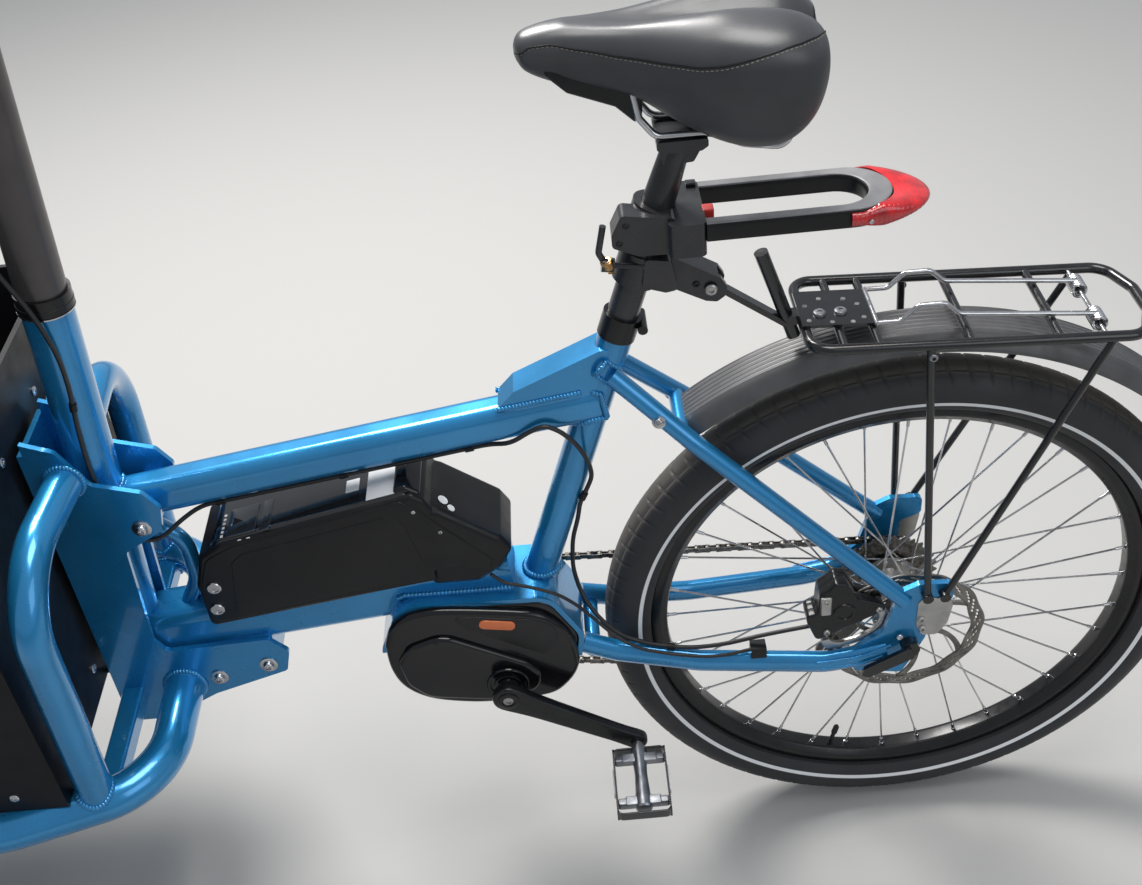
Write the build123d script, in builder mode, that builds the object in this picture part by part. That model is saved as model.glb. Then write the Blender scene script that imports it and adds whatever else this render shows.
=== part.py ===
from build123d import *
from math import asin, atan2, cos, degrees, hypot, pi, radians, sin, sqrt, tan
import os

# Electric cargo bicycle, long-john layout, in millimetres.
# X points forward, Y to the rider's left, Z up, and the floor is Z = 0.
# Places along the bike are distances ahead of the rear axle.

# Driving sizes
wheelbase = 1860.0
rear_rim_outer_r = 286.0
front_rim_outer_r = 209.5
rim_depth = 20.0
rear_tyre_height = 52.0
rear_tyre_width = 59.0
front_tyre_height = 44.5
front_tyre_width = 54.0
rear_tyre_r = rear_rim_outer_r + rear_tyre_height
front_tyre_r = front_rim_outer_r + front_tyre_height
rear_rim_inner_r = rear_rim_outer_r - rim_depth
front_rim_inner_r = front_rim_outer_r - rim_depth
rear_z = rear_tyre_r
front_z = front_tyre_r
rim_width = 30.0
rim_seat = 0.3
running_clearance = 0.1
seat_clearance = 0.3
axle_r = 5.0
rear_hub_flange_r = 28.0
rear_hub_flange_y = 30.0
front_hub_flange_y = 28.0
rear_shell_r = 17.0
rear_hub_end_r = 13.0
rear_hub_half_width = 62.0
front_shell_r = 14.0
front_hub_end_r = 10.0
front_hub_half_width = 49.7
front_rotor_y = 42.0
spoke_r = 1.1
spoke_count = 36
rotor_r = 90.0
rotor_y = 57.0
rotor_thickness = 2.0

# Rear frame, side view
bracket_x = 456.0
bracket_z = 320.0
head_top = (840.4, 845.0)
head_slope = 0.07
head_bottom_z = 392.0
head_r = 25.0
head_bore_r = 22.0
top_tube_front = (846.0, 591.0)
top_tube_rear = (322.0, 668.0)
top_tube_width = 40.0
top_tube_height = 42.0
down_tube_front = (852.0, 404.0)
down_tube_rear = (436.0, 449.0)
down_tube_size = 60.0
seat_top = (300.0, 742.0)
seat_foot = (410.0, 420.0)
seat_tube_r = 18.0
seatpost_r = 15.8
stay_half_height = 14.0
stay_half_width = 10.0
seatstay_r = 10.0
dropout_y = 72.0
dropout_thickness = 7.0

# Motor and drive
motor_left_y = 64.0
motor_right_y = 38.0
hoop_thickness = 6.0
hoop_left_y = 50.0
hoop_right_y = 38.0
crank_length = 170.0
crank_angle = 33.5
crank_arm_y = 86.0
crank_arm_thickness = 13.0
spindle_r = 12.0
pedal_gap = 10.0
pedal_length = 92.0
pedal_width = 62.0
pedal_height = 22.0
chain_y = -50.0
chain_half_height = 4.2
chain_width = 6.0
chainring_pitch_r = 85.0
cassette_pitch_r = 44.0
jockey_pitch_r = 22.0
guide_pulley = (22.0, rear_z - 68.0)
tension_pulley = (62.0, rear_z - 138.0)

# Cargo cradle
plate_outer_y = 40.0
plate_thickness = 6.0
bracket_front_x = 909.0
rail_r = 22.5
rail_y = 228.0
rail_z = 340.0
rail_root_x = 829.0
rail_front_x = wheelbase - 360.0
hoop_top = (wheelbase - 275.0, 620.0)
brace_r = 19.0
cross_size = 25.0
cross_z = 330.0
deck_tube_z = 350.0
rear_cross_x = 1130.0
front_cross_x = wheelbase - 430.0

# Cargo box
panel = 6.0
box_rear_x = 915.0
box_half_width = 219.0
box_floor = 9.0
box_top_z = 765.0
box_front_low_x = wheelbase - 424.0
box_front_high_x = wheelbase - 332.0
box_step = 60.0

# Front end
fork_axis_angle = 70.0
trail = 60.0
front_head_low_z = 590.0
front_head_high_z = 715.0
front_head_r = 25.0
front_head_bore_r = 21.0
drum_r = 22.0
drum_thickness = 14.0

# Stand
stand_x = 1280.0
stand_z = 286.0
stand_tube_r = 11.0
stand_pin_r = 6.0
ear_y = 160.0
ear_thickness = 6.0
stand_spread = 215.0

rear_guard_r = rear_tyre_r + 50.0
rear_guard_end_angle = 162.0
front_guard_r = front_tyre_r + 22.0

rearmost = -rear_guard_r * cos(radians(180 - rear_guard_end_angle))
foremost = wheelbase + front_tyre_r
rear_axle_x = -(rearmost + foremost) / 2
deck_z = deck_tube_z + cross_size / 2 + seat_clearance


def ahead(distance):
    """Place along the bike, measured forward from the rear axle."""
    return rear_axle_x + distance


def point(x, y, z):
    """A point given by its distance ahead of the rear axle."""
    return (ahead(x), y, z)


def side_points(*places):
    """Side-view places as sketch points on the XZ plane."""
    return [(ahead(x), z) for x, z in places]


def rear_places(*places):
    """Side-view places given by their height over the rear axle."""
    return [(x, rear_z + rise) for x, rise in places]


def front_places(*places):
    """Side-view places given from the front axle."""
    return [(wheelbase + x, front_z + rise) for x, rise in places]


def side_plane(y):
    """Side-view sketch plane at a given Y, facing the rider's right."""
    return Plane.XZ.offset(-y)


def bent_tube(points, bends, radius):
    """Round bar along straight runs joined by the given bend radii."""
    with BuildPart() as tube:
        with BuildLine() as route:
            if len(points) == 2:
                Line(*points)
            else:
                FilletPolyline(*points, radius=bends)
        with BuildSketch(Plane(origin=route.line @ 0, z_dir=route.line % 0)):
            Circle(radius)
        sweep(path=route.line)
    return tube.part


def cord_bends(points):
    """Bend radii of a cord, as large as the two runs at each corner allow."""
    bends = []
    for before, corner, after in zip(points, points[1:], points[2:]):
        run_in = Vector(*corner) - Vector(*before)
        run_out = Vector(*after) - Vector(*corner)
        half_turn = radians(run_in.get_angle(run_out)) / 2
        bends.append(0.45 * min(run_in.length, run_out.length) / tan(half_turn))
    return bends


def oval_tube(points, bends, half_width, half_height):
    """Oval bar, tall in the side view, along straight runs and bends."""
    with BuildPart() as tube:
        with BuildLine() as route:
            FilletPolyline(*points, radius=bends)
        with BuildSketch(Plane(origin=route.line @ 0, x_dir=(0, 1, 0), z_dir=route.line % 0)):
            Ellipse(half_width, half_height)
        sweep(path=route.line)
    return tube.part


def cross_rod(x, z, radius, y_high, y_low):
    """Round bar parallel to the axles between two Y values."""
    with BuildPart() as rod:
        with BuildSketch(side_plane(y_high)):
            with Locations((ahead(x), z)):
                Circle(radius)
        extrude(amount=y_high - y_low)
    return rod.part


def side_profile(places, fillet_r, y_high, y_low):
    """Plate with a rounded side-view outline between two Y values."""
    with BuildPart() as plate:
        with BuildSketch(side_plane(y_high)) as outline:
            Polygon(*side_points(*places), align=None)
            if fillet_r:
                fillet(outline.vertices(), fillet_r)
        extrude(amount=y_high - y_low)
    return plate.part


def straight_bar(start, end, profile_width, profile_height, corner):
    """Bar with a rounded rectangular section between two points of the side view."""
    with BuildPart() as bar:
        along = Vector(*end) - Vector(*start)
        with BuildSketch(Plane(origin=start, x_dir=(0, 1, 0), z_dir=along)):
            RectangleRounded(profile_width, profile_height, corner)
        extrude(amount=along.length)
    return bar.part


def head_x(z):
    """Distance of the steering column's axis ahead of the rear axle at a height."""
    return head_top[0] + head_slope * (head_top[1] - z)


def fork_x(z):
    """Distance of the fork's axis ahead of the rear axle at a height."""
    return wheelbase + trail - z / (sin(radians(fork_axis_angle)) / cos(radians(fork_axis_angle)))


def column_point(z):
    """Point on the steering column's axis at a height."""
    return Vector(*point(head_x(z), 0, z))


def fork_point(z):
    """Point on the fork's axis at a height."""
    return Vector(*point(fork_x(z), 0, z))


column_dir = (column_point(1.0) - column_point(0.0)).normalized()
fork_dir = (fork_point(1.0) - fork_point(0.0)).normalized()


def wheel_plane(x, z):
    """Plane through a wheel's axle, with local x along the axle and local y radial."""
    return Plane(origin=point(x, 0, z), x_dir=(0, 1, 0), z_dir=(1, 0, 0))


def wheel_axis(x, z):
    return Axis(point(x, 0, z), (0, 1, 0))


def make_tyre(x, outer_r, width, rim_outer_r):
    """Tyre with its beads inside the rim's hooks."""
    section_r = width / 2
    bead_half = rim_width / 2 - 2.8
    with BuildPart() as tyre:
        with BuildSketch(wheel_plane(x, outer_r)):
            with Locations((0, outer_r - section_r)):
                Circle(section_r)
            with Locations((0, rim_outer_r + rim_seat)):
                Rectangle(rim_width + 20, section_r * 2, align=(Align.CENTER, Align.MAX), mode=Mode.SUBTRACT)
            with Locations((0, rim_outer_r - 6)):
                Rectangle(bead_half * 2, 7, align=(Align.CENTER, Align.MIN))
        revolve(axis=wheel_axis(x, outer_r))
    return tyre.part


def make_rim(x, z, outer_r, inner_r):
    """Box-section rim with hooked walls."""
    half = rim_width / 2
    with BuildPart() as rim:
        with BuildSketch(wheel_plane(x, z)):
            Polygon(
                (-half, outer_r), (-half + 2.5, outer_r), (-half + 2.5, outer_r - 7), (half - 2.5, outer_r - 7),
                (half - 2.5, outer_r), (half, outer_r), (half, outer_r - 6), (half - 5, inner_r),
                (-half + 5, inner_r), (-half, outer_r - 6), align=None,
            )
        revolve(axis=wheel_axis(x, z))
    return rim.part


def make_hub(x, z, flange_y, flange_r, shell_r, end_r, half_width, rim_inner_r, lean):
    """Hub shell with two flanges and laced spokes."""
    with BuildPart() as hub:
        with BuildSketch(wheel_plane(x, z)):
            Polygon(
                (-half_width, axle_r + running_clearance), (half_width, axle_r + running_clearance),
                (half_width, end_r), (flange_y + 4.5, end_r), (flange_y + 3, shell_r), (flange_y + 2, flange_r + 4),
                (flange_y - 2, flange_r + 4), (flange_y - 3, shell_r), (-flange_y + 3, shell_r),
                (-flange_y + 2, flange_r + 4), (-flange_y - 2, flange_r + 4), (-flange_y - 3, shell_r),
                (-flange_y - 4.5, end_r), (-half_width, end_r), align=None,
            )
        revolve(axis=wheel_axis(x, z))
        spokes = []
        for i in range(spoke_count):
            rim_angle = radians(360 / spoke_count * i)
            side = 1 if i % 2 else -1
            trailing = 1 if (i // 2) % 2 else -1
            hub_angle = rim_angle + trailing * radians(lean)
            start_y = side * (flange_y + 1.2 * trailing)
            tip_r = rim_inner_r - seat_clearance
            start = Vector(ahead(x) + flange_r * cos(hub_angle), start_y, z + flange_r * sin(hub_angle))
            end = Vector(ahead(x) + tip_r * cos(rim_angle), side * 2.0, z + tip_r * sin(rim_angle))
            with BuildPart(mode=Mode.PRIVATE) as spoke:
                with BuildSketch(Plane(origin=start, z_dir=end - start)):
                    RegularPolygon(spoke_r, 4)
                extrude(amount=(end - start).length)
            spokes.append(spoke.part)
        add(spokes)
    return hub.part


def make_rotor(x, z, y, bore_r):
    """Brake disc: braking ring, six arms and the carrier on the hub."""
    with BuildPart() as rotor:
        with BuildSketch(side_plane(y + rotor_thickness / 2)) as face:
            with Locations((ahead(x), z)):
                Circle(rotor_r)
                Circle(rotor_r - 16, mode=Mode.SUBTRACT)
                Circle(24)
                with PolarLocations(0, 6):
                    with Locations((49, 0)):
                        Rectangle(54, 7)
                Circle(bore_r, mode=Mode.SUBTRACT)
        extrude(amount=rotor_thickness)
    return rotor.part


def belt_direction(first, second):
    """Direction angle of the straight run between two wheels of the chain line."""
    (x1, z1), r1, s1 = first
    (x2, z2), r2, s2 = second
    reach = hypot(x2 - x1, z2 - z1)
    return atan2(z2 - z1, x2 - x1) - asin((s1 * r1 - s2 * r2) / reach)


def belt_outline(wheels):
    """Closed line of straight runs and arcs around wheels, given as centre, radius, turn."""
    count = len(wheels)
    runs = []
    for i in range(count):
        first = wheels[i]
        second = wheels[(i + 1) % count]
        angle = belt_direction(first, second) + pi / 2
        (x1, z1), r1, s1 = first
        (x2, z2), r2, s2 = second
        leave = (x1 + s1 * r1 * cos(angle), z1 + s1 * r1 * sin(angle))
        arrive = (x2 + s2 * r2 * cos(angle), z2 + s2 * r2 * sin(angle))
        runs.append((leave, arrive))
    with BuildLine() as outline:
        for i in range(count):
            (x, z), r, turn = wheels[i]
            arrive = runs[i - 1][1]
            leave = runs[i][0]
            a0 = atan2(arrive[1] - z, arrive[0] - x)
            a1 = atan2(leave[1] - z, leave[0] - x)
            sweep_angle = (a0 - a1) % (2 * pi) if turn > 0 else (a1 - a0) % (2 * pi)
            middle = a0 - turn * sweep_angle / 2
            ThreePointArc(arrive, (x + r * cos(middle), z + r * sin(middle)), leave)
            Line(leave, runs[i][1])
    return outline.line


# Rear wheel

with BuildPart() as rear_tyre:
    add(make_tyre(0, rear_tyre_r, rear_tyre_width, rear_rim_outer_r))

with BuildPart() as rear_rim:
    add(make_rim(0, rear_z, rear_rim_outer_r, rear_rim_inner_r))

with BuildPart() as rear_hub:
    add(make_hub(0, rear_z, rear_hub_flange_y, rear_hub_flange_r, rear_shell_r, rear_hub_end_r,
                 rear_hub_half_width, rear_rim_inner_r, 62))

with BuildPart() as rear_rotor:
    add(make_rotor(0, rear_z, rotor_y, rear_hub_end_r + seat_clearance))

cassette_sprockets = [
    # (outer radius, centre Y)
    (60.0, -37.0), (54.0, -41.3), (48.0, -45.6), (39.3, -50.0), (34.0, -54.3), (29.0, -58.6),
]
with BuildPart() as cassette:
    for sprocket_r, sprocket_y in cassette_sprockets:
        with BuildSketch(side_plane(sprocket_y + 0.9)):
            with Locations((ahead(0), rear_z)):
                Circle(sprocket_r)
        extrude(amount=1.8)
    with BuildSketch(side_plane(-35.0)):
        with Locations((ahead(0), rear_z)):
            Circle(22)
    extrude(amount=24.5)
    with BuildSketch(side_plane(0)):
        with Locations((ahead(0), rear_z)):
            Circle(rear_hub_end_r + seat_clearance)
    extrude(amount=100, both=True, mode=Mode.SUBTRACT)

# Front wheel

with BuildPart() as front_tyre:
    add(make_tyre(wheelbase, front_tyre_r, front_tyre_width, front_rim_outer_r))

with BuildPart() as front_rim:
    add(make_rim(wheelbase, front_z, front_rim_outer_r, front_rim_inner_r))

with BuildPart() as front_hub:
    add(make_hub(wheelbase, front_z, front_hub_flange_y, 24.0, front_shell_r, front_hub_end_r,
                 front_hub_half_width, front_rim_inner_r, 55))

with BuildPart() as front_rotor:
    add(make_rotor(wheelbase, front_z, front_rotor_y, front_hub_end_r + seat_clearance))

# Rear frame, one welded piece

motor_outline = [(589, 372), (562, 434), (400, 430), (369, 372), (382, 296), (440, 291), (556, 294)]
motor_corner_r = 26.0
battery_half_width = 45.0
chainstay_route = [
    (366, 40, 350), (328, 45, 336), (235, 57, 320), (92, 71, rear_z - 24), (24, 73, rear_z - 12),
]
seatstay_route = [(309, 18.3, 706), (228, 41, 625), (8, 73, rear_z + 66)]
strut_route = [(828, 0, 568), (788, 0, 528), (788, 0, 470), (808, 0, 432)]
bridge_r = 8.0
motor_cut_y = motor_left_y + 1.0


def stay_place(reach):
    """Point on the left seatstay's axis at a distance from the rear axle in side view."""
    top, bend, foot = seatstay_route
    start, end = (top, bend) if hypot(bend[0], bend[2] - rear_z) < reach else (bend, foot)
    step_x = end[0] - start[0]
    step_z = end[2] - start[2]
    rise = start[2] - rear_z
    a = step_x ** 2 + step_z ** 2
    b = start[0] * step_x + rise * step_z
    c = start[0] ** 2 + rise ** 2 - reach ** 2
    share = (-b - sqrt(b ** 2 - a * c)) / a
    return [start[i] + share * (end[i] - start[i]) for i in range(3)]


bridge_x, bridge_y, bridge_z = stay_place(rear_guard_r - 2.7)
with BuildPart() as rear_frame:
    add(bent_tube([column_point(head_bottom_z), column_point(head_top[1])], None, head_r))
    add(straight_bar(
        point(top_tube_front[0], 0, top_tube_front[1]), point(top_tube_rear[0], 0, top_tube_rear[1]),
        top_tube_width, top_tube_height, 14))
    add(straight_bar(
        point(down_tube_front[0], 0, down_tube_front[1]), point(down_tube_rear[0], 0, down_tube_rear[1]),
        down_tube_size, down_tube_size, 14))
    add(bent_tube([point(seat_foot[0], 0, seat_foot[1]), point(seat_top[0], 0, seat_top[1])], None, seat_tube_r))
    add(side_profile([(430, 672), (408, 695), (318, 735), (300, 735), (320, 672)], 3, 17, -17))
    add(bent_tube([point(*place) for place in strut_route], [40, 60], 9))
    # Hoop over the motor
    with BuildSketch(side_plane(hoop_left_y)) as hoop:
        Polygon(*side_points(*motor_outline), align=None)
        fillet(hoop.vertices(), motor_corner_r)
        offset(amount=hoop_thickness + seat_clearance)
        Polygon(*side_points((700, 372), (500, 372), (460, 338), (250, 338), (250, 200), (700, 200)),
                align=None, mode=Mode.SUBTRACT)
    extrude(amount=hoop_left_y + hoop_right_y)
    for side in (1, -1):
        route = [point(x, side * y, z) for x, y, z in chainstay_route]
        add(oval_tube(route, [30, 60, 60], stay_half_width, stay_half_height))
        add(bent_tube([point(x, side * y, z) for x, y, z in seatstay_route], [160], seatstay_r))
        low = side * dropout_y + dropout_thickness / 2
        add(side_profile(
            rear_places((-18, 7), (-20, 54), (-44, 64), (-44, 88), (-6, 90), (14, 80), (30, 22), (66, -8),
                        (60, -38), (6, -48), (-2, -32)),
            6, low, low - dropout_thickness))
    add(cross_rod(bridge_x, bridge_z, bridge_r, bridge_y, -bridge_y))
    add(cross_rod(355, 336, 9, 42, -42))
    # Bosses that the side plates bolt to
    boss_y = plate_outer_y - plate_thickness - seat_clearance
    add(side_profile([(800, 600), (822, 600), (822, 566), (800, 566)], 3, boss_y, -boss_y))
    add(side_profile([(806, 392), (806, 338), (716, 350), (716, 404)], 6, boss_y, -boss_y))
    # Room for the motor and the bores
    with BuildSketch(side_plane(motor_cut_y)) as room:
        Polygon(*side_points(*motor_outline), align=None)
        fillet(room.vertices(), motor_corner_r)
        offset(amount=seat_clearance)
    extrude(amount=2 * motor_cut_y, mode=Mode.SUBTRACT)
    with BuildSketch(Plane(origin=column_point(head_bottom_z - 5), z_dir=column_dir)):
        Circle(head_bore_r)
    extrude(amount=head_top[1] - head_bottom_z + 20, mode=Mode.SUBTRACT)
    seat_dir = Vector(*point(seat_top[0], 0, seat_top[1])) - Vector(*point(seat_foot[0], 0, seat_foot[1]))
    with BuildSketch(Plane(origin=point(seat_top[0], 0, seat_top[1]), z_dir=seat_dir)):
        Circle(seatpost_r + running_clearance)
    extrude(amount=-190, mode=Mode.SUBTRACT)
    with Locations(Plane(origin=point(0, 0, rear_z), z_dir=(0, 1, 0))):
        Cylinder(axle_r + running_clearance, 200, mode=Mode.SUBTRACT)


with BuildPart() as rear_axle:
    with Locations(Plane(origin=point(0, 0, rear_z), z_dir=(0, 1, 0))):
        Cylinder(axle_r, 2 * (dropout_y + dropout_thickness / 2 + 2))
    for side in (1, -1):
        face = dropout_y + dropout_thickness / 2 + seat_clearance
        with Locations(Plane(origin=point(0, side * (face + 6), rear_z), z_dir=(0, 1, 0))):
            Cylinder(10, 12)
    # Quick-release lever
    add(side_profile(rear_places((2, 8), (52, -20), (56, -30), (46, -34), (-4, -8)), 3, 92, 87))

# Motor and battery

with BuildPart() as motor_housing:
    add(side_profile(motor_outline, motor_corner_r, motor_left_y - 8, -motor_right_y))
    with BuildSketch(side_plane(motor_left_y)) as cover:
        Polygon(*side_points(*motor_outline), align=None)
        fillet(cover.vertices(), motor_corner_r)
        offset(amount=-7)
    extrude(amount=8)
    with BuildSketch(side_plane(motor_left_y + 5)):
        with Locations((ahead(bracket_x), bracket_z)):
            Circle(27)
    extrude(amount=6)
    add(cross_rod(bracket_x, bracket_z, 24, -motor_right_y, -motor_right_y - 6))
    with Locations(Plane(origin=point(bracket_x, 0, bracket_z), z_dir=(0, 1, 0))):
        Cylinder(spindle_r + running_clearance, 300, mode=Mode.SUBTRACT)

battery_outline = [
    (775, 432), (776, 495), (764, 536), (738, 552), (526, 595), (514, 586), (500, 556), (492, 512), (518, 497),
    (520, 470),
]
battery_corner_r = 6.0
battery_edge_chamfer = 4.0
battery_mount_outline = [(524, 462), (510, 592), (439, 546), (430, 506), (446, 478), (470, 462)]
with BuildPart() as battery_case:
    add(side_profile(battery_outline, battery_corner_r, battery_half_width, -battery_half_width))
    chamfer(battery_case.faces().sort_by(Axis.Y)[-1].edges(), battery_edge_chamfer)
    chamfer(battery_case.faces().sort_by(Axis.Y)[0].edges(), battery_edge_chamfer)
    add(straight_bar(
        point(down_tube_front[0], 0, down_tube_front[1]), point(down_tube_rear[0], 0, down_tube_rear[1]),
        down_tube_size + 2 * seat_clearance, down_tube_size + 2 * seat_clearance, 14), mode=Mode.SUBTRACT)

with BuildPart() as battery_mount:
    add(side_profile(battery_mount_outline, 6, battery_half_width, -battery_half_width))
    with BuildSketch(side_plane(battery_half_width + 1)) as case_room:
        Polygon(*side_points(*battery_outline), align=None)
        fillet(case_room.vertices(), battery_corner_r)
        offset(amount=seat_clearance)
    extrude(amount=2 * battery_half_width + 2, mode=Mode.SUBTRACT)
    add(straight_bar(
        point(down_tube_front[0], 0, down_tube_front[1]), point(down_tube_rear[0], 0, down_tube_rear[1]),
        down_tube_size + 2 * seat_clearance, down_tube_size + 2 * seat_clearance, 14), mode=Mode.SUBTRACT)
    add(bent_tube([point(seat_foot[0], 0, seat_foot[1]), point(seat_top[0], 0, seat_top[1])], None,
                  seat_tube_r + seat_clearance), mode=Mode.SUBTRACT)

# Cranks and pedals

crank_drop = radians(crank_angle)
crank_end_x = bracket_x - crank_length * cos(crank_drop)
crank_end_z = bracket_z - crank_length * sin(crank_drop)
far_end_x = 2 * bracket_x - crank_end_x
far_end_z = 2 * bracket_z - crank_end_z
pedal_axle_r = 6.0

with BuildPart() as crank_arms:
    with Locations(Plane(origin=point(bracket_x, 0, bracket_z), z_dir=(0, 1, 0))):
        Cylinder(spindle_r, 2 * crank_arm_y - crank_arm_thickness)
    for side, end_x, end_z in ((1, crank_end_x, crank_end_z), (-1, far_end_x, far_end_z)):
        with BuildSketch(side_plane(side * crank_arm_y + crank_arm_thickness / 2)):
            with BuildLine():
                across_x = sin(crank_drop)
                across_z = cos(crank_drop)
                Polyline(*side_points(
                    (bracket_x - 17 * across_x, bracket_z + 17 * across_z),
                    (end_x - 12 * across_x, end_z + 12 * across_z),
                    (end_x + 12 * across_x, end_z - 12 * across_z),
                    (bracket_x + 17 * across_x, bracket_z - 17 * across_z)), close=True)
            make_face()
            with Locations((ahead(bracket_x), bracket_z)):
                Circle(18)
            with Locations((ahead(end_x), end_z)):
                Circle(13)
        extrude(amount=crank_arm_thickness)
        with Locations(Plane(origin=point(end_x, 0, end_z), z_dir=(0, 1, 0))):
            with Locations((0, 0, side * crank_arm_y)):
                Cylinder(pedal_axle_r + running_clearance, crank_arm_thickness + 2, mode=Mode.SUBTRACT)

with BuildPart() as chainring:
    with BuildSketch(side_plane(chain_y + 1)):
        with Locations((ahead(bracket_x), bracket_z)):
            Circle(chainring_pitch_r - chain_half_height - 0.6)
            Circle(62, mode=Mode.SUBTRACT)
            Circle(26)
            with PolarLocations(0, 5):
                with Locations((43, 0)):
                    Rectangle(46, 15)
            Circle(spindle_r + seat_clearance, mode=Mode.SUBTRACT)
    extrude(amount=2)
    with BuildSketch(side_plane(chain_y + 1)):
        with Locations((ahead(bracket_x), bracket_z)):
            Circle(22)
            Circle(spindle_r + seat_clearance, mode=Mode.SUBTRACT)
    extrude(amount=crank_arm_y - crank_arm_thickness / 2 + chain_y + 1 - seat_clearance)


def make_pedal(x, z, side):
    """Cage pedal: spindle, barrel, two bridges and the plate cage."""
    inner = side * (crank_arm_y + crank_arm_thickness / 2 + pedal_gap)
    outer = inner + side * pedal_length
    middle = (inner + outer) / 2
    with BuildPart() as pedal:
        with Locations(Plane(origin=point(x, 0, z), z_dir=(0, 1, 0))):
            with Locations((0, 0, (side * (crank_arm_y - crank_arm_thickness / 2) + middle) / 2)):
                Cylinder(pedal_axle_r, abs(middle - side * (crank_arm_y - crank_arm_thickness / 2)))
            with Locations((0, 0, middle)):
                Cylinder(9.5, pedal_length - 6)
        for place in (inner + side * 14, outer - side * 18):
            with Locations((ahead(x), place, z)):
                Box(pedal_width - 3, 9, 10)
        with BuildSketch(Plane(origin=point(x, middle, z - pedal_height / 2))):
            RectangleRounded(pedal_width, pedal_length, 6)
            RectangleRounded(pedal_width - 5, pedal_length - 5, 4, mode=Mode.SUBTRACT)
        extrude(amount=pedal_height)
    return pedal.part


with BuildPart() as pedal_left:
    add(make_pedal(crank_end_x, crank_end_z, 1))

with BuildPart() as pedal_right:
    add(make_pedal(far_end_x, far_end_z, -1))

# Chain and derailleur

chain_wheels = [
    # ((centre X, centre Z), pitch radius, turn: 1 clockwise seen from the right)
    ((ahead(bracket_x), bracket_z), chainring_pitch_r, 1),
    ((ahead(tension_pulley[0]), tension_pulley[1]), jockey_pitch_r, 1),
    ((ahead(guide_pulley[0]), guide_pulley[1]), jockey_pitch_r, -1),
    ((ahead(0), rear_z), cassette_pitch_r, 1),
]
with BuildPart() as chain:
    with BuildSketch(side_plane(chain_y + chain_width / 2)):
        with BuildLine():
            add(belt_outline([(c, r + s * chain_half_height, s) for c, r, s in chain_wheels]))
        make_face()
        with BuildLine():
            add(belt_outline([(c, r - s * chain_half_height, s) for c, r, s in chain_wheels]))
        make_face(mode=Mode.SUBTRACT)
    extrude(amount=chain_width)

with BuildPart() as derailleur:
    for x, z in (guide_pulley, tension_pulley):
        with BuildSketch(side_plane(chain_y + 2)):
            with Locations((ahead(x), z)):
                Circle(jockey_pitch_r - chain_half_height - 0.6)
        extrude(amount=4)
        with BuildSketch(side_plane(chain_y + 7)):
            with Locations((ahead(x), z)):
                Circle(5)
        extrude(amount=14)
    cage = [(guide_pulley[0] - 10, guide_pulley[1] + 8), (guide_pulley[0] + 10, guide_pulley[1] + 8),
            (tension_pulley[0] + 10, tension_pulley[1] - 8), (tension_pulley[0] - 10, tension_pulley[1] - 8)]
    for high in (chain_y + 7, chain_y - 5):
        add(side_profile(cage, 7, high, high - 2))
    hanger_y = -dropout_y - dropout_thickness / 2 - seat_clearance
    add(side_profile(rear_places((-4, -28), (18, -28), (42, -64), (36, -86), (12, -86)), 6, hanger_y, hanger_y - 9))
    add(side_profile(rear_places((12, -55), (36, -58), (36, -82), (12, -86)), 5, chain_y - 7, hanger_y - 9))

# Rear brake

with BuildPart() as rear_caliper:
    add(side_profile(rear_places((66, 34), (66, 90), (92, 102), (112, 86), (106, 8), (88, -2)), 7, 76, 46))
    adapter_y = dropout_y - dropout_thickness / 2 - seat_clearance
    add(side_profile(rear_places((16, 12), (16, 58), (40, 66), (72, 58), (72, 22), (44, 4)), 5,
                     adapter_y, adapter_y - 6))
    with BuildSketch(side_plane(rotor_y + 3)):
        with Locations((ahead(0), rear_z)):
            Circle(rotor_r + 3)
    extrude(amount=6, mode=Mode.SUBTRACT)
    with Locations(Plane(origin=point(0, 0, rear_z), z_dir=(0, 1, 0))):
        Cylinder(rear_hub_end_r + 6, 400, mode=Mode.SUBTRACT)

# Rear mudguard

guard_thickness = 2.0
guard_start_angle = 53.6
bridge_reach = hypot(bridge_x, bridge_z - rear_z)
tab_start_angle = degrees(atan2(bridge_z - rear_z, bridge_x) + asin((bridge_r + seat_clearance) / bridge_reach))
with BuildPart() as rear_mudguard:
    start = radians(guard_start_angle)
    plane = Plane(origin=point(0, 0, rear_z), x_dir=(0, 1, 0), z_dir=(sin(start), 0, -cos(start)))
    with BuildSketch(plane):
        with BuildLine():
            FilletPolyline((-33, rear_guard_r - 16), (-24, rear_guard_r), (24, rear_guard_r), (33, rear_guard_r - 16),
                           radius=9)
            offset(amount=guard_thickness, side=Side.RIGHT, closed=True)
        make_face()
    revolve(axis=Axis(point(0, 0, rear_z), (0, -1, 0)), revolution_arc=rear_guard_end_angle - guard_start_angle)
    # Tab to the stay bridge and boss to the rack
    start = radians(tab_start_angle)
    with BuildSketch(Plane(origin=point(0, 0, rear_z), x_dir=(0, 1, 0), z_dir=(sin(start), 0, -cos(start)))):
        with Locations((0, rear_guard_r - guard_thickness)):
            Rectangle(20, guard_thickness, align=(Align.CENTER, Align.MIN))
    revolve(axis=Axis(point(0, 0, rear_z), (0, -1, 0)), revolution_arc=guard_start_angle + 3 - tab_start_angle)

# Rack

rack_r = 5.5
rack_half = 62.0
rack_front = (116, rear_z + rear_guard_r + 17)
rack_rear = (-205, rack_front[1] - 18)
arm_pivot = (206, 794)
fork_half = 14.0
strut_foot_z = rear_z + 76
spring_x = -168


def rack_z(x):
    """Height of the rack's deck at a place along the bike."""
    return rack_front[1] + (rack_rear[1] - rack_front[1]) * (x - rack_front[0]) / (rack_rear[0] - rack_front[0])


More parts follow.
